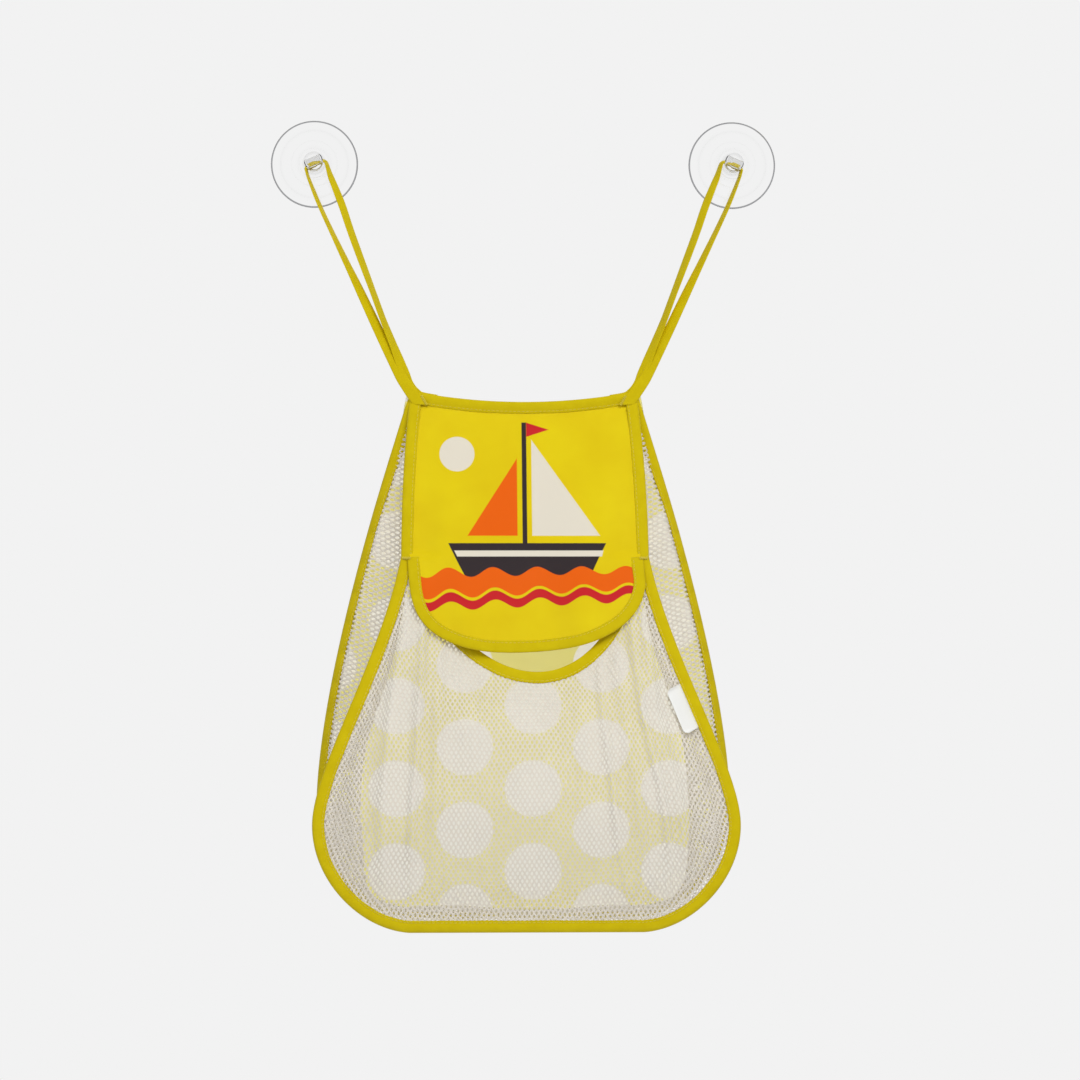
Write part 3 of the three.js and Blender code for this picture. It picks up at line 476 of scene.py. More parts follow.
# Woven nylon, thin and slightly silky, that lets light through. Threads of 0.4 mm are drawn at 0.8 mm, so
# that the weave shows.
pale_nylon, tree, surface, ground, cloth = woven_material("printed_woven_nylon", "#EEE89E", "#E3DC80", 0.8,
                                                          0.5, 0.1, 0.25, (45, 0.35))
DOT_RADIUS, DOT_BLUR = 19.5, 0.3
DOT_PITCH = (94, 57)
DOT_CENTRE = (6.5, -373)
half_pitch = np.array((*DOT_PITCH, 1)) / 2
dot_marks = []
for shift in (0, 0.5):  # every other row of dots is shifted by half a pitch
    offset = (DOT_CENTRE[0] + DOT_PITCH[0] * shift, DOT_CENTRE[1] + DOT_PITCH[1] * shift, 0)
    moved = add_node(tree, "VectorMath", {0: cloth, 1: offset}, operation="SUBTRACT")
    centred = add_node(tree, "VectorMath", {0: moved, 1: half_pitch, 2: -half_pitch}, operation="WRAP")
    far = add_node(tree, "VectorMath", {0: centred}, operation="LENGTH")
    dot_marks.append(add_node(tree, "MapRange", {"Value": far, "To Min": 1, "To Max": 0,
                                                 "From Min": DOT_RADIUS - DOT_BLUR,
                                                 "From Max": DOT_RADIUS + DOT_BLUR}))
either = add_node(tree, "Math", {0: dot_marks[0], 1: dot_marks[1]}, operation="MAXIMUM")
dotted = add_node(tree, "Mix", {"Factor": either, "A": ground, "B": srgb("#F3F1EA")}, data_type="RGBA")
feed(tree, surface, {"Base Color": dotted})
let_light_through(tree, surface, dotted, 0.65)

BACK_CLOTH = 0.4
rows = np.linspace(0, 1, 151)
across = np.linspace(-1, 1, 101)
grid = np.zeros((len(rows), len(across), 3))
for i, share in enumerate(rows):
    level = lerp(TOP_Z - 9, BOTTOM_Z + RAW_EDGE, share)
    x = across * (half_width(back_right, level) - RAW_EDGE)
    z = lerp(np.maximum(top_edge(x) - RAW_EDGE, level), level, smoothstep(share, 0, 0.05))
    slack = smoothstep(half_width(back_right, level) - np.abs(x), 8, 40) * smoothstep(share, 0.05, 0.2)
    slack = slack * smoothstep(1 - share, 0.03, 0.15)
    ripples = 0.9 * np.sin(x / 17 + 0.6 * np.sin(level / 60)) + 0.5 * np.sin(x / 8.3 + level / 90)
    grid[i] = np.stack([x, back_y(x, z) - 0.1 - slack * (1 + ripples), z], -1)
points, faces = sheet_mesh(grid, BACK_CLOTH)
cloth = np.tile(grid[..., [0, 2]].reshape(-1, 2), (2, 1))
back_panel = make_piece("back_panel_cloth", points, faces, pale_nylon, cloth)
fasten(back_panel, "bag", "pale_nylon", "back_panel")
x, z = np.vstack([back_right, back_right[::-1] * (-1, 1)]).T


# Gusset: a long strip of white knitted mesh that makes the sides and the bottom. It narrows to nothing at the
# top, folds inward along its middle, and its edges are sewn into the front and back seams.
FRONT_START = TAPE_WIDTH + 0.45  # the front leaves the wall just below the top tape


def front_y(x, z):
    """How far the front of the bag stands from the wall."""
    start = top_edge(x) - FRONT_START
    share = np.clip((start - z) / (start - BOTTOM_Z), 0, 1)
    return BACK_Y - BAG_DEPTH * np.sin(np.pi / 2 * share)


CELL_WIDTH, CELL_HEIGHT = 3.15, 2.75
# A hole's outline.
HOLE = ((0, 1.42), (0.62, 0.81), (0.88, 0), (0.62, -0.81), (0, -1.42), (-0.62, -0.81), (-0.88, 0),
        (-0.62, 0.81))
STRAND_HALF = 0.2


def inside(points, outline):
    """Which points lie inside a closed outline."""
    x, y = points[:, 0], points[:, 1]
    found = np.zeros(len(points), bool)
    for (x0, y0), (x1, y1) in zip(outline, np.roll(outline, -1, axis=0)):
        if y0 != y1:
            found ^= ((y0 > y) != (y1 > y)) & (x < (x1 - x0) * (y - y0) / (y1 - y0) + x0)
    return found


def knit(centres, surface_at, scale=1.0):
    """Knitted mesh: a honeycomb of strands, raised along their middles, round lens-shaped holes.

    Centres are the holes' places on the flat cloth. Surface_at gives points and normals of the hung cloth.
    """
    w, h = CELL_WIDTH * scale / 2, CELL_HEIGHT * scale / 3
    around = np.array([(0, 2 * h), (w, h), (w, 0), (w, -h), (0, -2 * h), (-w, -h), (-w, 0), (-w, h)])
    corner_points = (centres[:, None] + around[None]).reshape(-1, 2)
    keys = np.round(corner_points / (0.2 * scale)).astype(int)
    _, first, corner_of = np.unique(keys, axis=0, return_index=True, return_inverse=True)
    corners = corner_points[first]
    corner_of = corner_of.reshape(-1, 8)
    holes = (centres[:, None] + np.array(HOLE) * scale).reshape(-1, 2)
    corner_at, corner_normal = surface_at(corners)
    hole_at, _ = surface_at(holes)
    raised = corner_normal * STRAND_HALF
    points = np.concatenate([corner_at + raised, corner_at - raised, hole_at])
    n = len(corners)
    hole_of = 2 * n + np.arange(len(holes)).reshape(-1, 8)
    next_corner, next_hole = np.roll(corner_of, -1, axis=1), np.roll(hole_of, -1, axis=1)
    front = np.stack([corner_of, hole_of, next_hole, next_corner], -1).reshape(-1, 4)
    back = np.stack([corner_of + n, next_corner + n, next_hole, hole_of], -1).reshape(-1, 4)
    pairs = np.stack([corner_of, next_corner], -1).reshape(-1, 2)
    used = {(a, b) for a, b in pairs.tolist()}
    rim = [(a, b, b + n, a + n) for a, b in pairs.tolist() if (b, a) not in used]
    return points, [*front.tolist(), *back.tolist(), *rim], np.concatenate([corners, corners, holes])


def lattice(low, high, scale=1.0):
    """Places of the holes over a box of flat cloth, every other row shifted by half a hole."""
    w, h = CELL_WIDTH * scale, CELL_HEIGHT * scale
    columns = np.arange(math.floor(low[0] / w), math.ceil(high[0] / w) + 1)
    rows = np.arange(math.floor(low[1] / h), math.ceil(high[1] / h) + 1)
    c, r = np.meshgrid(columns, rows)
    return np.stack([(c + (r % 2) / 2) * w, r * h], -1).reshape(-1, 2)


# Warp-knitted polyester mesh: matt white strands of many fine filaments, slightly warm. The knit's 0.5 mm
# loops are drawn along the strands as a fine relief.
KNIT_LOOP, TONE_PATCH = 0.5, 30
white_mesh, tree, surface = start_material("knitted_polyester_mesh")
cloth = add_node(tree, "UVMap", uv_map="cloth_mm")
loops = add_node(tree, "TexNoise", {"Vector": cloth, "Scale": 1 / KNIT_LOOP, "Detail": 2})
patches = add_node(tree, "TexNoise", {"Vector": cloth, "Scale": 1 / TONE_PATCH, "Detail": 2})
tone = add_node(tree, "Mix", {"Factor": patches, "A": srgb("#F2EDE5"), "B": srgb("#E7E1D8")},
                data_type="RGBA")
soft = add_node(tree, "MapRange", {"Value": loops, "To Min": 0.55, "To Max": 0.8})
relief = add_node(tree, "Bump", {"Height": loops, "Strength": 0.3, "Distance": THREAD_RELIEF * MM})
feed(tree, surface, {"Base Color": tone, "Roughness": soft, "Normal": relief, "Sheen Weight": 0.1})
let_light_through(tree, surface, tone, 0.28)

GUSSET_TOP = -179
GUSSET_SCALE = 1.08
GUSSET_HALF = 65  # half of the widest cloth
BOTTOM_CREASE, SIDE_CREASE = 0.07, 0.3  # how deep the strip folds inward, as a share of its width
FRONT_KNEE, BACK_KNEE = 6.5, 4.6  # where the strip leaves the tapes, in from the outside of the seams
FRONT_PLY, BACK_PLY = 1.7, 1.4  # how far the strip lies behind the front seam and before the back one
STRIP_END = 2


def inward_of(line):
    """The way into the bag at each point of a seam line that goes down the right side."""
    along = unit(np.gradient(line, axis=0))
    return np.stack([along[:, 1], -along[:, 0]], -1)


def at_depth(line, y):
    """Points at their depths, from a line or a sheet seen from the front."""
    return np.stack([line[..., 0], y, line[..., 1]], -1)


side_levels = np.linspace(GUSSET_TOP, WIDEST_Z, 90)
front_edge, back_edge = (np.vstack([np.stack([half_width(line, side_levels), side_levels], -1), lower_line])
                         for line in (front_right, back_right))
front_knee_y = front_y(*front_edge.T) + FRONT_PLY
back_knee_y = BACK_Y - BACK_PLY - BACK_KNEE * seam_lean(back_edge[:, 1])
front_rail = mirrored(at_depth(front_edge + inward_of(front_edge) * FRONT_KNEE, front_knee_y))
back_rail = mirrored(at_depth(back_edge + inward_of(back_edge) * BACK_KNEE, back_knee_y))
strip_middle = (front_rail + back_rail) / 2
strip_length = lengths_along(strip_middle)
strip_width = np.linalg.norm(front_rail - back_rail, axis=1)
strip_along = unit(np.gradient(strip_middle, axis=0))
strip_inward = unit(np.cross(strip_along, front_rail - back_rail + (0, -1e-6, 0)) * (1, 0, 1))
strip_crease = lerp(BOTTOM_CREASE, SIDE_CREASE, smoothstep(np.abs(strip_inward[:, 0]), 0.5, 1))
strip_cloth = strip_width * np.sqrt(1 + (np.pi * strip_crease) ** 2 / 2)


def gusset_points(cloth):
    """Points of the hung strip, from the length along it and the place across it."""
    s = np.clip(cloth[:, 0], 0, strip_length[-1])

    def rail(rows):
        return np.stack([np.interp(s, strip_length, rows[:, k]) for k in range(3)], -1)

    front, back, inward = rail(front_rail), rail(back_rail), rail(strip_inward)
    width, cut, crease = (np.interp(s, strip_length, row) for row in (strip_width, strip_cloth, strip_crease))
    share = 0.5 + cloth[:, 1] / np.maximum(cut, 4)
    crease = (crease + 0.02 * np.sin(s / 19)) * width * np.sin(np.pi * np.clip(share, 0, 1))
    return back + (front - back) * share[:, None] + inward * crease[:, None]


def gusset_at(cloth):
    step = np.array(((0.5, 0), (0, 0.5)))
    du = gusset_points(cloth + step[0]) - gusset_points(cloth - step[0])
    dv = gusset_points(cloth + step[1]) - gusset_points(cloth - step[1])
    return gusset_points(cloth), unit(np.cross(du, dv))


holes = lattice((0, -GUSSET_HALF), (strip_length[-1], GUSSET_HALF), GUSSET_SCALE)
holes = holes[(holes[:, 0] > STRIP_END) & (holes[:, 0] < strip_length[-1] - STRIP_END)]
holes = holes[np.abs(holes[:, 1]) < np.interp(holes[:, 0], strip_length, strip_cloth) / 2 + 0.5]
points, faces, cloth = knit(holes, gusset_at, GUSSET_SCALE)
gusset = make_piece("gusset_mesh", points, faces, white_mesh, cloth, smooth=False)
fasten(gusset, "bag", "white_mesh", "gusset")


# Front panel: the same knitted mesh, cut wider than the seam that it is gathered into, so that it bulges and
# falls in soft folds from the scooped neckline to the bottom.
NECK_HALF, NECK_LOW, NECK_SHIFT, NECK_BULGE = 72, -347, 7.5, 3
NET_EDGE = 4.5  # from the outside of a seam to the net's cut edge inside its tape


def neck_point(q, side):
    """A point of the neckline, from the tack at 0 to the lowest point at 1, a little right of the middle."""
    x = side * NECK_HALF * np.cos(np.pi / 2 * q) + NECK_SHIFT * np.sin(np.pi / 2 * q) ** 2
    return np.stack([x, lerp(TACK_Z, NECK_LOW, np.sin(np.pi / 2 * q) ** (4 / 3))], -1)


def neck_bulge(x):
    return NECK_BULGE * np.cos(np.pi / 2 * np.clip(x / NECK_HALF, -1, 1)) ** 2


# The middle of the panel hangs forward between two big folds, which fall almost straight down from the tacks.
# Small folds lie between them: each has its share of the way across, its half width and its height.
BULGE, DRAPE = 3, 18
FOLD_LEVELS = (-519, -472, -442, -418, -395, -372, -345, -325, -265)
LEFT_FOLD = (-95, -94.7, -94, -93.3, -92.4, -91.5, -88.5, -86.5, -76)
RIGHT_FOLD = (112, 107, 101, 96, 90, 86, 84, 83, 76)
SMALL_FOLDS = [(-0.1, 5, 2.0), (0.0, 4, 3.0), (0.1, 3.2, 4.6), (0.17, 4, 2.6), (0.3, 9, 2.6), (0.44, 12, 1.4),
               (0.6, 12, 1.4), (0.71, 7, 2.4), (0.79, 3.2, 4.2), (0.87, 5, 3.0), (0.945, 3.2, 4.6),
               (1.0, 4, 3.0), (1.1, 5, 2.0)]
left_neck, right_neck = (neck_point(np.linspace(0, 1, 60), side) for side in (-1, 1))
neck_line = np.vstack([left_neck, right_neck[-2::-1]])
map_x, map_z = np.arange(-148, 149, 1.0), np.arange(-524, -262, 1.0)
x, z = np.meshgrid(map_x, map_z)
from_seam, from_neck = gap_to(mirrored(front_right), x, z), gap_to(neck_line, x, z)
left_fold, right_fold = np.interp(z, FOLD_LEVELS, LEFT_FOLD), np.interp(z, FOLD_LEVELS, RIGHT_FOLD)
outside_folds = np.maximum(np.maximum(left_fold - x, x - right_fold), 0)
folds = DRAPE * np.maximum(from_seam - 8.5, 0) / (from_seam + outside_folds) * smoothstep(from_neck, 6, 45)
for share, width, height in SMALL_FOLDS:
    crest = lerp(left_fold, right_fold, share) + 2 * np.sin(z / 31 + 9 * share)
    folds += height * np.exp(-((x - crest) / width) ** 2) * smoothstep(from_neck, 5, 18)
folds *= smoothstep(from_seam, 9, 18) * smoothstep(z, BOTTOM_Z + 4, BOTTOM_Z + 95)
bulge = BULGE * smoothstep(from_seam, 8.5, 60) * smoothstep(from_neck, 0, 75)
depth = front_y(x, z) - SEAM_PLY - bulge - folds - neck_bulge(x) * (1 - smoothstep(from_neck, 0, 120))
slope_x, slope_z = np.gradient(depth, axis=1), np.gradient(depth, axis=0)
flat_u = np.cumsum(np.sqrt(1 + slope_x ** 2), axis=1)
flat_u -= flat_u[:, [len(map_x) // 2]]
flat_v = np.cumsum(np.sqrt(1 + slope_z ** 2), axis=0)
flat_v -= flat_v[[-1]]


def sample(table, x, z):
    """A value of a map at points between its squares."""
    c = np.clip(x - map_x[0], 0, len(map_x) - 1.001)
    r = np.clip(z - map_z[0], 0, len(map_z) - 1.001)
    i, j = r.astype(int), c.astype(int)
    f, g = r - i, c - j
    return ((table[i, j] * (1 - g) + table[i, j + 1] * g) * (1 - f)
            + (table[i + 1, j] * (1 - g) + table[i + 1, j + 1] * g) * f)


def panel_place(cloth):
    """Where a point of the flat cloth comes to hang, seen from the front."""
    x, z = cloth[:, 0].copy(), map_z[-1] + cloth[:, 1]
    for _ in range(16):
        x += 0.6 * (cloth[:, 0] - sample(flat_u, x, z))
        z += 0.6 * (cloth[:, 1] - sample(flat_v, x, z))
    return x, z


def panel_at(cloth):
    x, z = panel_place(cloth)
    normal = np.stack([sample(slope_x, x, z), -np.ones(len(x)), sample(slope_z, x, z)], -1)
    return np.stack([x, sample(depth, x, z), z], -1), unit(normal)


holes = lattice((-190, -320), (190, 0))  # more than the panel needs, and the rest is cut away
left_hem, right_hem = left_neck + (0, -NET_EDGE), right_neck + (0, -NET_EDGE)
seam_line = np.vstack([flare_line, lower_line])
seam_edge = seam_line + inward_of(seam_line) * NET_EDGE
outline = np.vstack([left_hem[:-1], right_hem[::-1], seam_edge, seam_edge[::-1] * (-1, 1)])
holes = holes[inside(np.stack(panel_place(holes), -1), outline)]
points, faces, cloth = knit(holes, panel_at)
front_panel = make_piece("front_panel_mesh", points, faces, white_mesh, cloth, smooth=False)
fasten(front_panel, "bag", "white_mesh", "front_panel")


# Flap: one piece of yellow woven nylon, printed, that covers the mouth. Its top and sides are sewn into the
# seams, and below the tacks it hangs free in front of the neckline.
FLAP_AXIS_Y = -46.8716  # the fold that the flap turns on
FLAP_LEAN = 0.37
FLAP_CLOTH = 0.35
FLAP_ASIDE, FLAP_SLANT = 2.2, 0.045
HEM_HALF_WIDTH, HEM_TURN_Z, HEM_DROP = 79.8, -283, 51
HEM_SQUARENESS = 2.4  # 2 would be an ellipse
FOLD_TOP, FOLD_END = -264, -276  # the cloth bends here when the flap is lifted


def hang_askew(line):
    """The flap's free part hangs a little to the right, and lower on its left."""
    line = np.array(line, float)
    free = smoothstep(-line[..., 1], 268, 300)
    return line + np.stack([FLAP_ASIDE * free, FLAP_SLANT * line[..., 0] * free], -1)


def flap_y(x, z):
    """How far the flap stands from the wall, with the soft waves of hung cloth."""
    x, z = np.asarray(x, float), np.asarray(z, float)
    start = top_edge(x) - TAPE_WIDTH
    down = np.clip((start - z) / (start - TACK_Z), 0, 1)
    reach = FLAP_AXIS_Y + SEAM_PLY - front_y(x, np.full(x.shape, float(TACK_Z)))
    middle = 1 - smoothstep(np.abs(x), 52, 71)
    upper = front_y(x, z) - SEAM_PLY + reach * middle * down ** 2
    lower = FLAP_AXIS_Y - (TACK_Z - z) * FLAP_LEAN
    y = lerp(upper, lower, smoothstep(-z, 266, 273))
    held = smoothstep(np.abs(x), 55, 76) * smoothstep(z, -310, -276)  # by the tacks
    free = lerp(0.25 * smoothstep(-z, 175, 230), 1, smoothstep(-z, 272, 318)) * (1 - 0.85 * held)
    waves = 2.4 * np.sin((x + 12) / 13.5 + 0.25 * np.sin(z / 23)) + 0.9 * np.sin(x / 6.1 + z / 41)
    waves *= 1 - 0.8 * smoothstep(np.abs(x), 48, 70)
    over_net = 1.2 + 2.6 * smoothstep(-x, 35, 65)  # the net stands further out on the left
    return y + free * (waves - over_net)


# Woven nylon, satin-like and thin, with a screen print. Threads of 0.3 mm are drawn at 0.7 mm, so that they
# show.
yellow_nylon, tree, surface, ground, cloth = woven_material("printed_satin_nylon", "#E9D302", "#DBBB00", 0.7,
                                                            0.42, 0.03, 0.18, (38, 0.55))
split = add_node(tree, "SeparateXYZ", {"Vector": cloth})
WAVE_LENGTH, WAVE_SWELL = 30, 3


def outside_polygon(corners):
    """How far the cloth lies outside a printed shape with straight edges, its corners in clockwise order."""
    furthest = None
    for (x0, z0), (x1, z1) in zip(corners, corners[1:] + corners[:1]):
        size = math.hypot(x1 - x0, z1 - z0)
        out = ((z0 - z1) / size, (x1 - x0) / size, 0)
        side = add_node(tree, "VectorMath", {0: cloth, 1: out}, operation="DOT_PRODUCT")
        beyond = add_node(tree, "Math", {0: side, 1: out[0] * x0 + out[1] * z0}, operation="SUBTRACT")
        if furthest is None:
            furthest = beyond
        else:
            furthest = add_node(tree, "Math", {0: furthest, 1: beyond}, operation="MAXIMUM")
    return furthest


def outside_disc(centre, radius):
    far = add_node(tree, "VectorMath", {0: cloth, 1: (*centre, 0)}, operation="DISTANCE")
    return add_node(tree, "Math", {0: far, 1: radius}, operation="SUBTRACT")


def outside_waves(level, height):
    """How far the cloth lies above or below a printed band of waves."""
    turn = 2 * math.pi / WAVE_LENGTH
    phase = add_node(tree, "Math", {0: split.outputs["X"], 1: turn}, operation="MULTIPLY")
    swell = add_node(tree, "Math", {0: phase}, operation="SINE")
    crest = add_node(tree, "Math", {0: swell, 1: WAVE_SWELL, 2: level}, operation="MULTIPLY_ADD")
    above = add_node(tree, "Math", {0: split.outputs["Y"], 1: crest}, operation="SUBTRACT")
    middle = add_node(tree, "Math", {0: above, 1: height / 2}, operation="ADD")
    far = add_node(tree, "Math", {0: middle}, operation="ABSOLUTE")
    return add_node(tree, "Math", {0: far, 1: height / 2}, operation="SUBTRACT")


# The print, from the lowest ink to the top one: a sun, a sailing boat and two bands of waves.
PRINT_BLUR = 0.25
CREAM, BLACK, RED, ORANGE = "#E6DFCF", "#2E2528", "#C92026", "#EC6200"
PRINT_SHAPES = [
    (CREAM, outside_disc((-46, -200), 12)),
    (BLACK, outside_polygon([(-1.6, -178), (1.6, -178), (1.6, -262), (-1.6, -262)])),
    (RED, outside_polygon([(1.6, -178), (17, -183), (1.6, -188)])),
    (CREAM, outside_polygon([(5, -190), (51, -256), (5, -256)])),
    (ORANGE, outside_polygon([(-5, -203), (-5, -256), (-39, -256)])),
    (BLACK, outside_polygon([(-52, -261), (55, -261), (40, -290), (-38, -290)])),
    (CREAM, outside_polygon([(-48, -266), (53, -266), (52, -270), (-46, -270)])),
    (ORANGE, outside_waves(-280, 13)),
    (RED, outside_waves(-295, 6)),
]
colour = ground
for ink, outside in PRINT_SHAPES:
    cover = add_node(tree, "MapRange", {"Value": outside, "From Min": -PRINT_BLUR, "From Max": PRINT_BLUR,
                                        "To Min": 1, "To Max": 0})
    colour = add_node(tree, "Mix", {"Factor": cover, "A": colour, "B": srgb(ink)}, data_type="RGBA")
feed(tree, surface, {"Base Color": colour, "Specular IOR Level": 0.2})
let_light_through(tree, surface, colour, 0.08)

turn = np.sin(np.linspace(-np.pi / 2, np.pi / 2, 97)) * 0.999
rows = []
for share in np.linspace(0, 1, 61):
    level = lerp(TOP_Z - TOP_SAG, TACK_Z, share)
    sewn_width = half_width(front_right, level) - RAW_EDGE
    x = turn * lerp(sewn_width, HEM_HALF_WIDTH - RAW_EDGE, smoothstep(share, 0.9, 1))
    rows.append(np.stack([x, lerp(top_edge(x) - RAW_EDGE, TACK_Z, share)], -1))
x = turn * (HEM_HALF_WIDTH - RAW_EDGE)
hem_z = HEM_TURN_Z - (HEM_DROP - RAW_EDGE) * (1 - np.abs(turn) ** HEM_SQUARENESS) ** (1 / HEM_SQUARENESS)
for share in np.linspace(0, 1, 41)[1:]:
    rows.append(np.stack([x, lerp(TACK_Z, hem_z, share)], -1))
flat = np.array(rows)
hung = hang_askew(flat)
grid = at_depth(hung, flap_y(hung[..., 0], hung[..., 1]))
points, faces = sheet_mesh(grid, FLAP_CLOTH)
cloth = flat.reshape(-1, 2)
unprinted = cloth + (0, 500)  # the print is on the outside only
flap = make_piece("flap_cloth", points, faces, yellow_nylon, np.concatenate([unprinted, cloth]))
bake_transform(flap, "bag", "flap", (0, FLAP_AXIS_Y * MM, FOLD_TOP * MM), (0, FLAP_AXIS_Y * MM, FOLD_END * MM))
fasten(flap, "bag", "yellow_nylon", "flap_upper", "flap_lower")


# Bindings: yellow nylon tape, folded over the raw edges and sewn through with one row of stitches near its
# inner edge. One runs along the top, one round each seam, one along the neckline and one round the flap.
SEAM_HALF, HEM_HALF = 1.45, 1.05
STITCH_ROW = 6.7
STITCH_PITCH, STITCH_RADIUS = 2.9, 0.24
PUCKER_DEPTH, PUCKER_EDGE = 0.16, 0.22
# The folded tape's section: how far in from the fold, and how high as a share of half the seam's thickness.
TAPE_FACE = [(TAPE_WIDTH, 0.62), (7.75, 0.95), (7.2, 0.93), (STITCH_ROW, 0.85), (6.1, 1.0), (4.6, 1.16),
             (3.0, 1.2), (1.6, 1.08), (0.6, 0.72), (0.1, 0.3)]
TAPE_OUTSIDE = TAPE_FACE + [(0, 0)] + [(d, -h) for d, h in TAPE_FACE[::-1]]
TAPE_INSIDE = [(7.9, -0.3), (4, -0.55), (1.1, -0.4), (0.8, 0), (1.1, 0.4), (4, 0.55), (7.9, 0.3)]
# A stitch along its length: the share of the way, how thick, and how high over the tape, in thread radii.
STITCH_SHAPE = ((0, 0.45, -0.9), (0.12, 0.9, -0.2), (0.5, 1.0, 0.1), (0.88, 0.9, -0.2), (1, 0.45, -0.9))
THREAD_FACETS = 6

# Spun polyester thread: two plies twisted every 0.5 mm, a little paler than the tape. The light that the plies
# catch is painted on as paler bands.
PLY_TWIST = 0.5
yellow_thread, tree, surface = start_material("twisted_polyester_thread")
cloth = add_node(tree, "UVMap", uv_map="cloth_mm")
wave = add_node(tree, "TexWave", {"Vector": cloth, "Scale": 1 / PLY_TWIST / WAVE_BANDS},
                bands_direction="DIAGONAL")
plies = wave.outputs["Fac"]
# Painted highlight: the plies' lit bands take the paler yellow, and their shaded bands the darker one.
tone = add_node(tree, "Mix", {"Factor": plies, "A": srgb("#CDB91E"), "B": srgb("#DDCC48")}, data_type="RGBA")
relief = add_node(tree, "Bump", {"Height": plies, "Strength": 0.4, "Distance": THREAD_RELIEF * MM})
feed(tree, surface, {"Base Color": tone, "Roughness": 0.5, "Normal": relief, "Sheen Weight": 0.2})


def stitches(ends, radius):
    """Short lengths of thread between pairs of points, thinner where their ends dive into the cloth."""
    points, faces, cloth = [], [], []
    turns = full_turn(THREAD_FACETS)
    stitch_faces = loft(np.zeros((len(STITCH_SHAPE), THREAD_FACETS)))
    for start, end, up in ends:
        aside = unit(np.cross(unit(end - start), up))
        first = len(points)
        for share, thick, rise in STITCH_SHAPE:
            middle = lerp(start, end, share) + up * rise * radius
            for t in turns:
                points.append(middle + radius * thick * (math.cos(t) * aside + math.sin(t) * up))
                cloth.append((t * radius, share * np.linalg.norm(end - start)))
        faces += [tuple(first + k for k in f) for f in stitch_faces]
    return points, faces, cloth


def seam_frame(line, depth_of):
    """A seam's stations, with the directions into the panel and out of its face."""
    line = resample(line, STITCH_PITCH / 4)
    edge = at_depth(line, depth_of(*line.T))
    flat = inward_of(line)
    inner = line + flat * 5
    inward = unit(at_depth(inner, depth_of(*inner.T)) - edge)
    along = unit(np.gradient(edge, axis=0))
    outward = unit(np.cross(along, inward))
    outward *= -np.sign(outward[:, [1]])
    inward = unit(np.cross(outward, along))
    inward *= np.sign((inward[:, [0, 2]] * flat).sum(axis=1))[:, None]
    return edge, inward, outward


def bind(node, body, line, depth_of, half, tuck=1):
    """A folded tape along a seam with its stitches, in place of a CAD node.

    Half is half the seam's thickness, and tuck thins the ends that go under other tapes.
    """
    edge, inward, outward = seam_frame(line, depth_of)
    stations = np.arange(len(edge)) * STITCH_PITCH / 4
    pull = 0.5 + 0.5 * np.cos(2 * np.pi * stations / STITCH_PITCH)
    half = half * lerp(tuck, 1, smoothstep(np.minimum(stations, stations[::-1]), 3, 9))
    uneven = np.array([noise.noise(Vector((s / 14, len(node), 0.3))) for s in stations])
    ring, across = [], []
    for k, (d, h) in enumerate(TAPE_OUTSIDE + TAPE_INSIDE):
        shown = k < len(TAPE_OUTSIDE)
        near_row = shown * math.exp(-((d - STITCH_ROW) / 1.3) ** 2)
        pucker = shown * PUCKER_EDGE * smoothstep(d, 6.5, TAPE_WIDTH) * (1 - pull)
        height = h * half * (1 + 0.05 * uneven) + PUCKER_DEPTH * np.sign(h) * (near_row * (0.5 - pull))
        reach = d + pucker + 0.25 * uneven * (d / TAPE_WIDTH)
        ring.append(edge + inward * reach[:, None] + outward * height[:, None])
        across.append(np.sign(h) * d if shown else TAPE_WIDTH + 1)
    rings = np.stack(ring, axis=1)
    cloth = cloth_grid(across, stations)
    tape = make_piece(f"{node}_tape", rings.reshape(-1, 3), loft(rings), yellow_tape, cloth)
    fasten(tape, body, "yellow_tape", node)
    ends = []
    for start in range(2, len(edge) - 4, 4):
        for face in (1, -1):
            ends.append([edge[k] + inward[k] * STITCH_ROW + face * outward[k] * (half[k] * 0.87 + 0.1)
                         for k in (start, start + 3)] + [face * outward[start + 1]])
    points, faces, cloth = stitches(ends, STITCH_RADIUS)
    row = make_piece(f"{node}_stitching", points, faces, yellow_thread, cloth)
    fasten(row, body, "yellow_tape")


def below(line, level):
    """The part of a line down the right side that lies under a level, starting just there."""
    line = resample(line, 0.5)
    return line[line[:, 1] <= level]


def on_wall(x, z):
    return np.full(np.shape(x), float(BACK_Y))


def front_seam_y(x, z):
    """The front seam's tape lies over the back seam's where they meet at the top corner."""
    return front_y(x, z) - 1.3 * smoothstep(z, -192, -168)


def neck_y(x, z):
    return front_y(x, z) - SEAM_PLY - neck_bulge(x)


top_x = np.linspace(-CORNER_X, CORNER_X, 80)
hem_turn = np.linspace(0, np.pi / 2, 60)
round_hem = np.stack([np.cos(hem_turn), -np.sin(hem_turn)], -1)
round_hem = np.sign(round_hem) * np.abs(round_hem) ** (2 / HEM_SQUARENESS)
hem_line = (0, HEM_TURN_Z) + round_hem * (HEM_HALF_WIDTH, HEM_DROP)
hem_line = np.vstack([[(HEM_HALF_WIDTH, TACK_Z - 0.5)], hem_line])
bind("top_binding", "bag", np.stack([top_x, top_edge(top_x)], -1), on_wall, SEAM_HALF)
bind("back_binding", "bag", mirrored(below(back_right, -159)), back_y, SEAM_HALF, 0.7)
bind("front_binding", "bag", mirrored(below(front_right, -160.5)), front_seam_y, SEAM_HALF, 0.8)
bind("neckline_binding", "bag", neck_line, neck_y, HEM_HALF)
bind("flap_binding", "flap", hang_askew(mirrored(hem_line)), flap_y, HEM_HALF, 0.5)


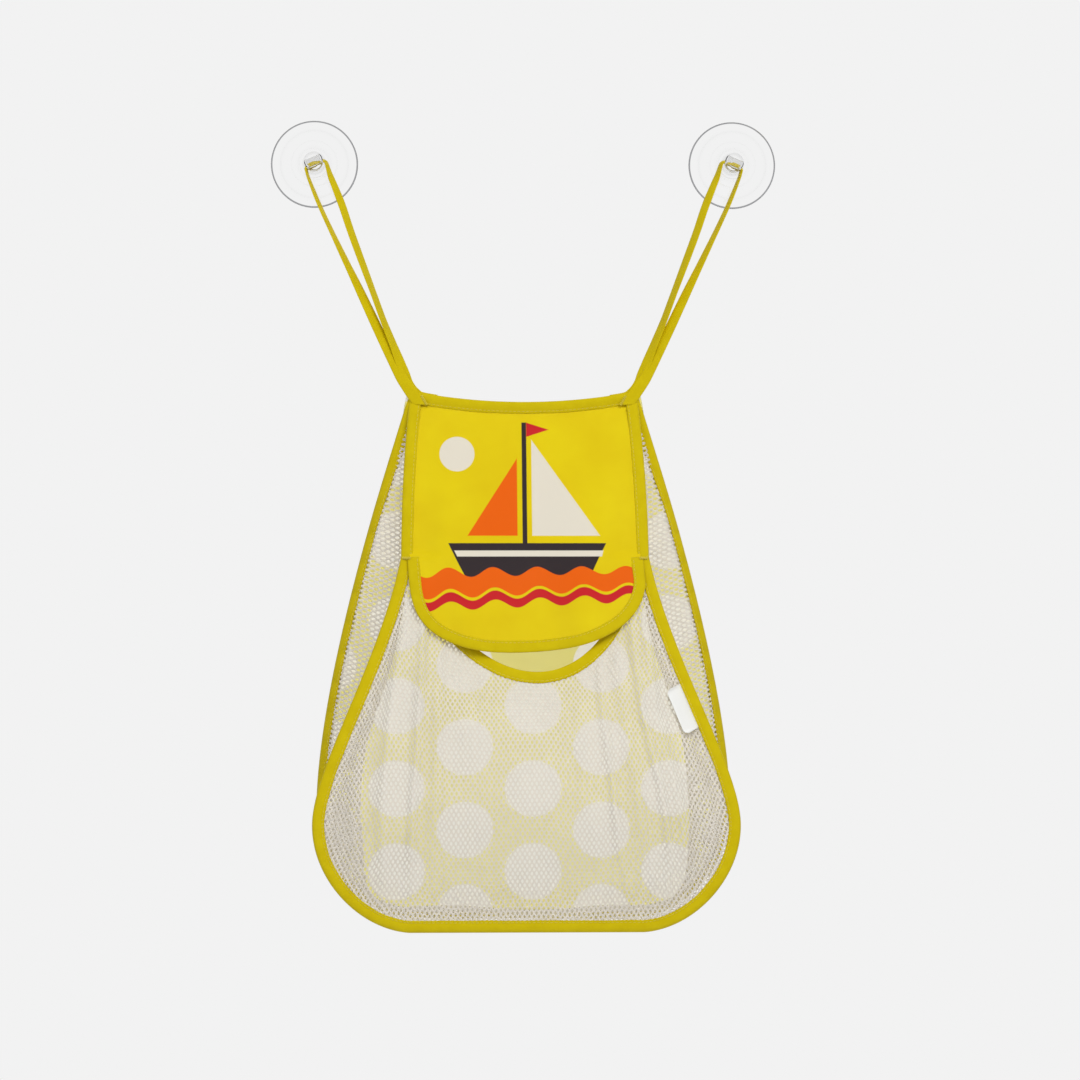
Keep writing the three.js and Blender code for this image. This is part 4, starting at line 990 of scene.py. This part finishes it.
# Bar tacks: dense zig-zags of the same thread, sewn through the tapes. They hold the strap ends to the
# corners, and the ends of the flap's fold to the front seam.
TACK_PITCH, TACK_LEAN, TACK_RADIUS = 0.55, 0.3, 0.3
AWAY = np.array((0.0, -1.0, 0.0))


def bar_tack(node, centre, along, across, length, width):
    """A row of threads to and fro across a line, on the side away from the wall."""
    count = int(length / TACK_PITCH)
    ends = []
    for k in range(count):
        at = centre + along * (k / (count - 1) - 0.5) * length
        lean = along * TACK_LEAN * (1 if k % 2 else -1)
        ends.append((at - across * width / 2 - lean, at + across * width / 2 + lean, AWAY))
    points, faces, cloth = stitches(ends, TACK_RADIUS)
    tack = make_piece(f"{node}_thread", points, faces, yellow_thread, cloth)
    fasten(tack, "bag", "yellow_tape", node)


for side, side_name in SIDES:
    bar_tack(f"strap_tack_{side_name}", np.array((side * 68.6, -5.3, -162.6)),
             np.array((-side * 0.49, 0, -0.87)), np.array((side * 0.87, 0, -0.49)), 7, 1.8)
    bar_tack(f"flap_tack_{side_name}", np.array((side * 80.4, FLAP_AXIS_Y - 0.9, TACK_Z - 1.0)),
             unit((side, 0.45, 0)), np.array((0, 0, 1.0)), 5.6, 2.0)


# Label: a small blank strip of white satin ribbon, caught along one edge in the right-hand front seam. Its
# free edge stands off the mesh.
LABEL_TOP, LABEL_LENGTH, LABEL_WIDTH = -352, 31, 11
LABEL_ROUNDING = 3
LABEL_RIBBON = 0.25
LABEL_START = 7.6  # where the ribbon leaves the tape, in from the outside of the seam
SEAM_STEP = 0.5

# Woven satin ribbon: white, smooth and a little glossy. Its threads are drawn at 0.5 mm, so that they show.
white_satin = woven_material("woven_satin_ribbon", "#F7F7F4", "#EAEAE6", 0.5, 0.4, 0.1, 0.15, (12, 0.3))[0]

label_rows, label_columns = np.linspace(0, 1, 33), np.linspace(0, 1, 15)
flare_fine = resample(flare_line, SEAM_STEP)
start = int(np.argmin(np.abs(flare_fine[:, 1] - LABEL_TOP)))
label_seam = flare_fine[start:start + int(LABEL_LENGTH / SEAM_STEP) + 1]
seam_shares = np.linspace(0, 1, len(label_seam))
label_edge = np.stack([np.interp(label_rows, seam_shares, label_seam[:, k]) for k in (0, 1)], -1)
into = inward_of(label_edge)
from_end = LABEL_LENGTH * np.minimum(label_rows, 1 - label_rows)
into_corner = np.clip(LABEL_ROUNDING - from_end, 0, LABEL_ROUNDING)
bow = LABEL_WIDTH - LABEL_ROUNDING + np.sqrt(LABEL_ROUNDING ** 2 - into_corner ** 2)
free_edge = label_edge + into * (LABEL_START + LABEL_WIDTH)
seam_y = front_y(*label_edge.T)
rise = seam_y - sample(depth, *free_edge.T) + 2 + 0.5 * np.sin(label_rows * 5)
grid = np.zeros((len(label_rows), len(label_columns), 3))
for j, share in enumerate(label_columns):
    flat = label_edge + into * (LABEL_START + share * bow[:, None])
    grid[:, j] = at_depth(flat, seam_y - 1.6 - rise * share ** 0.8)
points, faces = sheet_mesh(grid, LABEL_RIBBON)
cloth = cloth_grid(label_columns * LABEL_WIDTH, label_rows * LABEL_LENGTH)
label = make_piece("label_ribbon", points, faces, white_satin, np.tile(cloth, (2, 1)))
fasten(label, "bag", "white_satin", "label")


# Studio: a pale backdrop behind everything, large soft lamps and a pale floor well below the bag. Its places
# and sizes are in metres, and the lamps' powers in watts.
def seen_directly(tree):
    """1 for rays that show a surface as it is, to the eye, in a gloss or through clear plastic, else 0."""
    rays = add_node(tree, "LightPath").outputs
    seen = rays["Is Camera Ray"]
    for kind in ("Is Glossy Ray", "Is Transmission Ray"):
        seen = add_node(tree, "Math", {0: seen, 1: rays[kind]}, operation="MAXIMUM")
    return seen


world = bpy.data.worlds.new("studio_backdrop")
bpy.context.scene.world = world
world.use_nodes = True
tree = world.node_tree
level = add_node(tree, "MapRange", {"Value": seen_directly(tree), "To Min": 0.46, "To Max": 1})
feed(tree, tree.nodes["Background"], {"Color": srgb("#F2F2F2"), "Strength": level})

LIT_POINT = Vector((0, 0, -0.3))


def lamp(name, place, size, power):
    """A square lamp that shines at the bag and shows neither in a gloss nor through clear plastic."""
    light = bpy.data.lights.new(name, "AREA")
    light.size = size
    light.energy = power
    made = bpy.data.objects.new(name, light)
    made.location = place
    made.rotation_euler = (LIT_POINT - Vector(place)).to_track_quat("-Z", "Y").to_euler()
    made.visible_transmission = False
    made.visible_glossy = False
    bpy.context.scene.collection.objects.link(made)


lamp("key_lamp", (0.6, -1.7, 1.2), 1.2, 29)
lamp("fill_lamp", (-1.0, -1.8, 0.8), 1.0, 8)
lamp("back_lamp", (0.3, 1.8, 0.5), 1.6, 30)

# Matt paper: it lights the bag from below as paper does, and to the eye it melts into the backdrop.
paper, tree, surface = start_material("matt_paper_floor")
feed(tree, surface, {"Base Color": srgb("#EFEFEF"), "Roughness": 0.9})
shown = add_node(tree, "Math", {0: seen_directly(tree), 1: 0.93}, operation="MULTIPLY")
pale = add_node(tree, "Emission", {"Color": srgb("#F6F6F6")})
both = add_node(tree, "MixShader", {0: shown, 1: surface, 2: pale})
feed(tree, tree.nodes["Material Output"], {"Surface": both})

FLOOR_HALF, FLOOR_Z = 3.5, -1.3
floor_corners = [(x * FLOOR_HALF, y * FLOOR_HALF, FLOOR_Z) for x, y in ((-1, -1), (1, -1), (1, 1), (-1, 1))]
floor_mesh = bpy.data.meshes.new("studio_floor")
floor_mesh.from_pydata(floor_corners, [], [(0, 1, 2, 3)])
floor_mesh.materials.append(paper)
floor = bpy.data.objects.new("studio_floor", floor_mesh)
bpy.context.scene.collection.objects.link(floor)
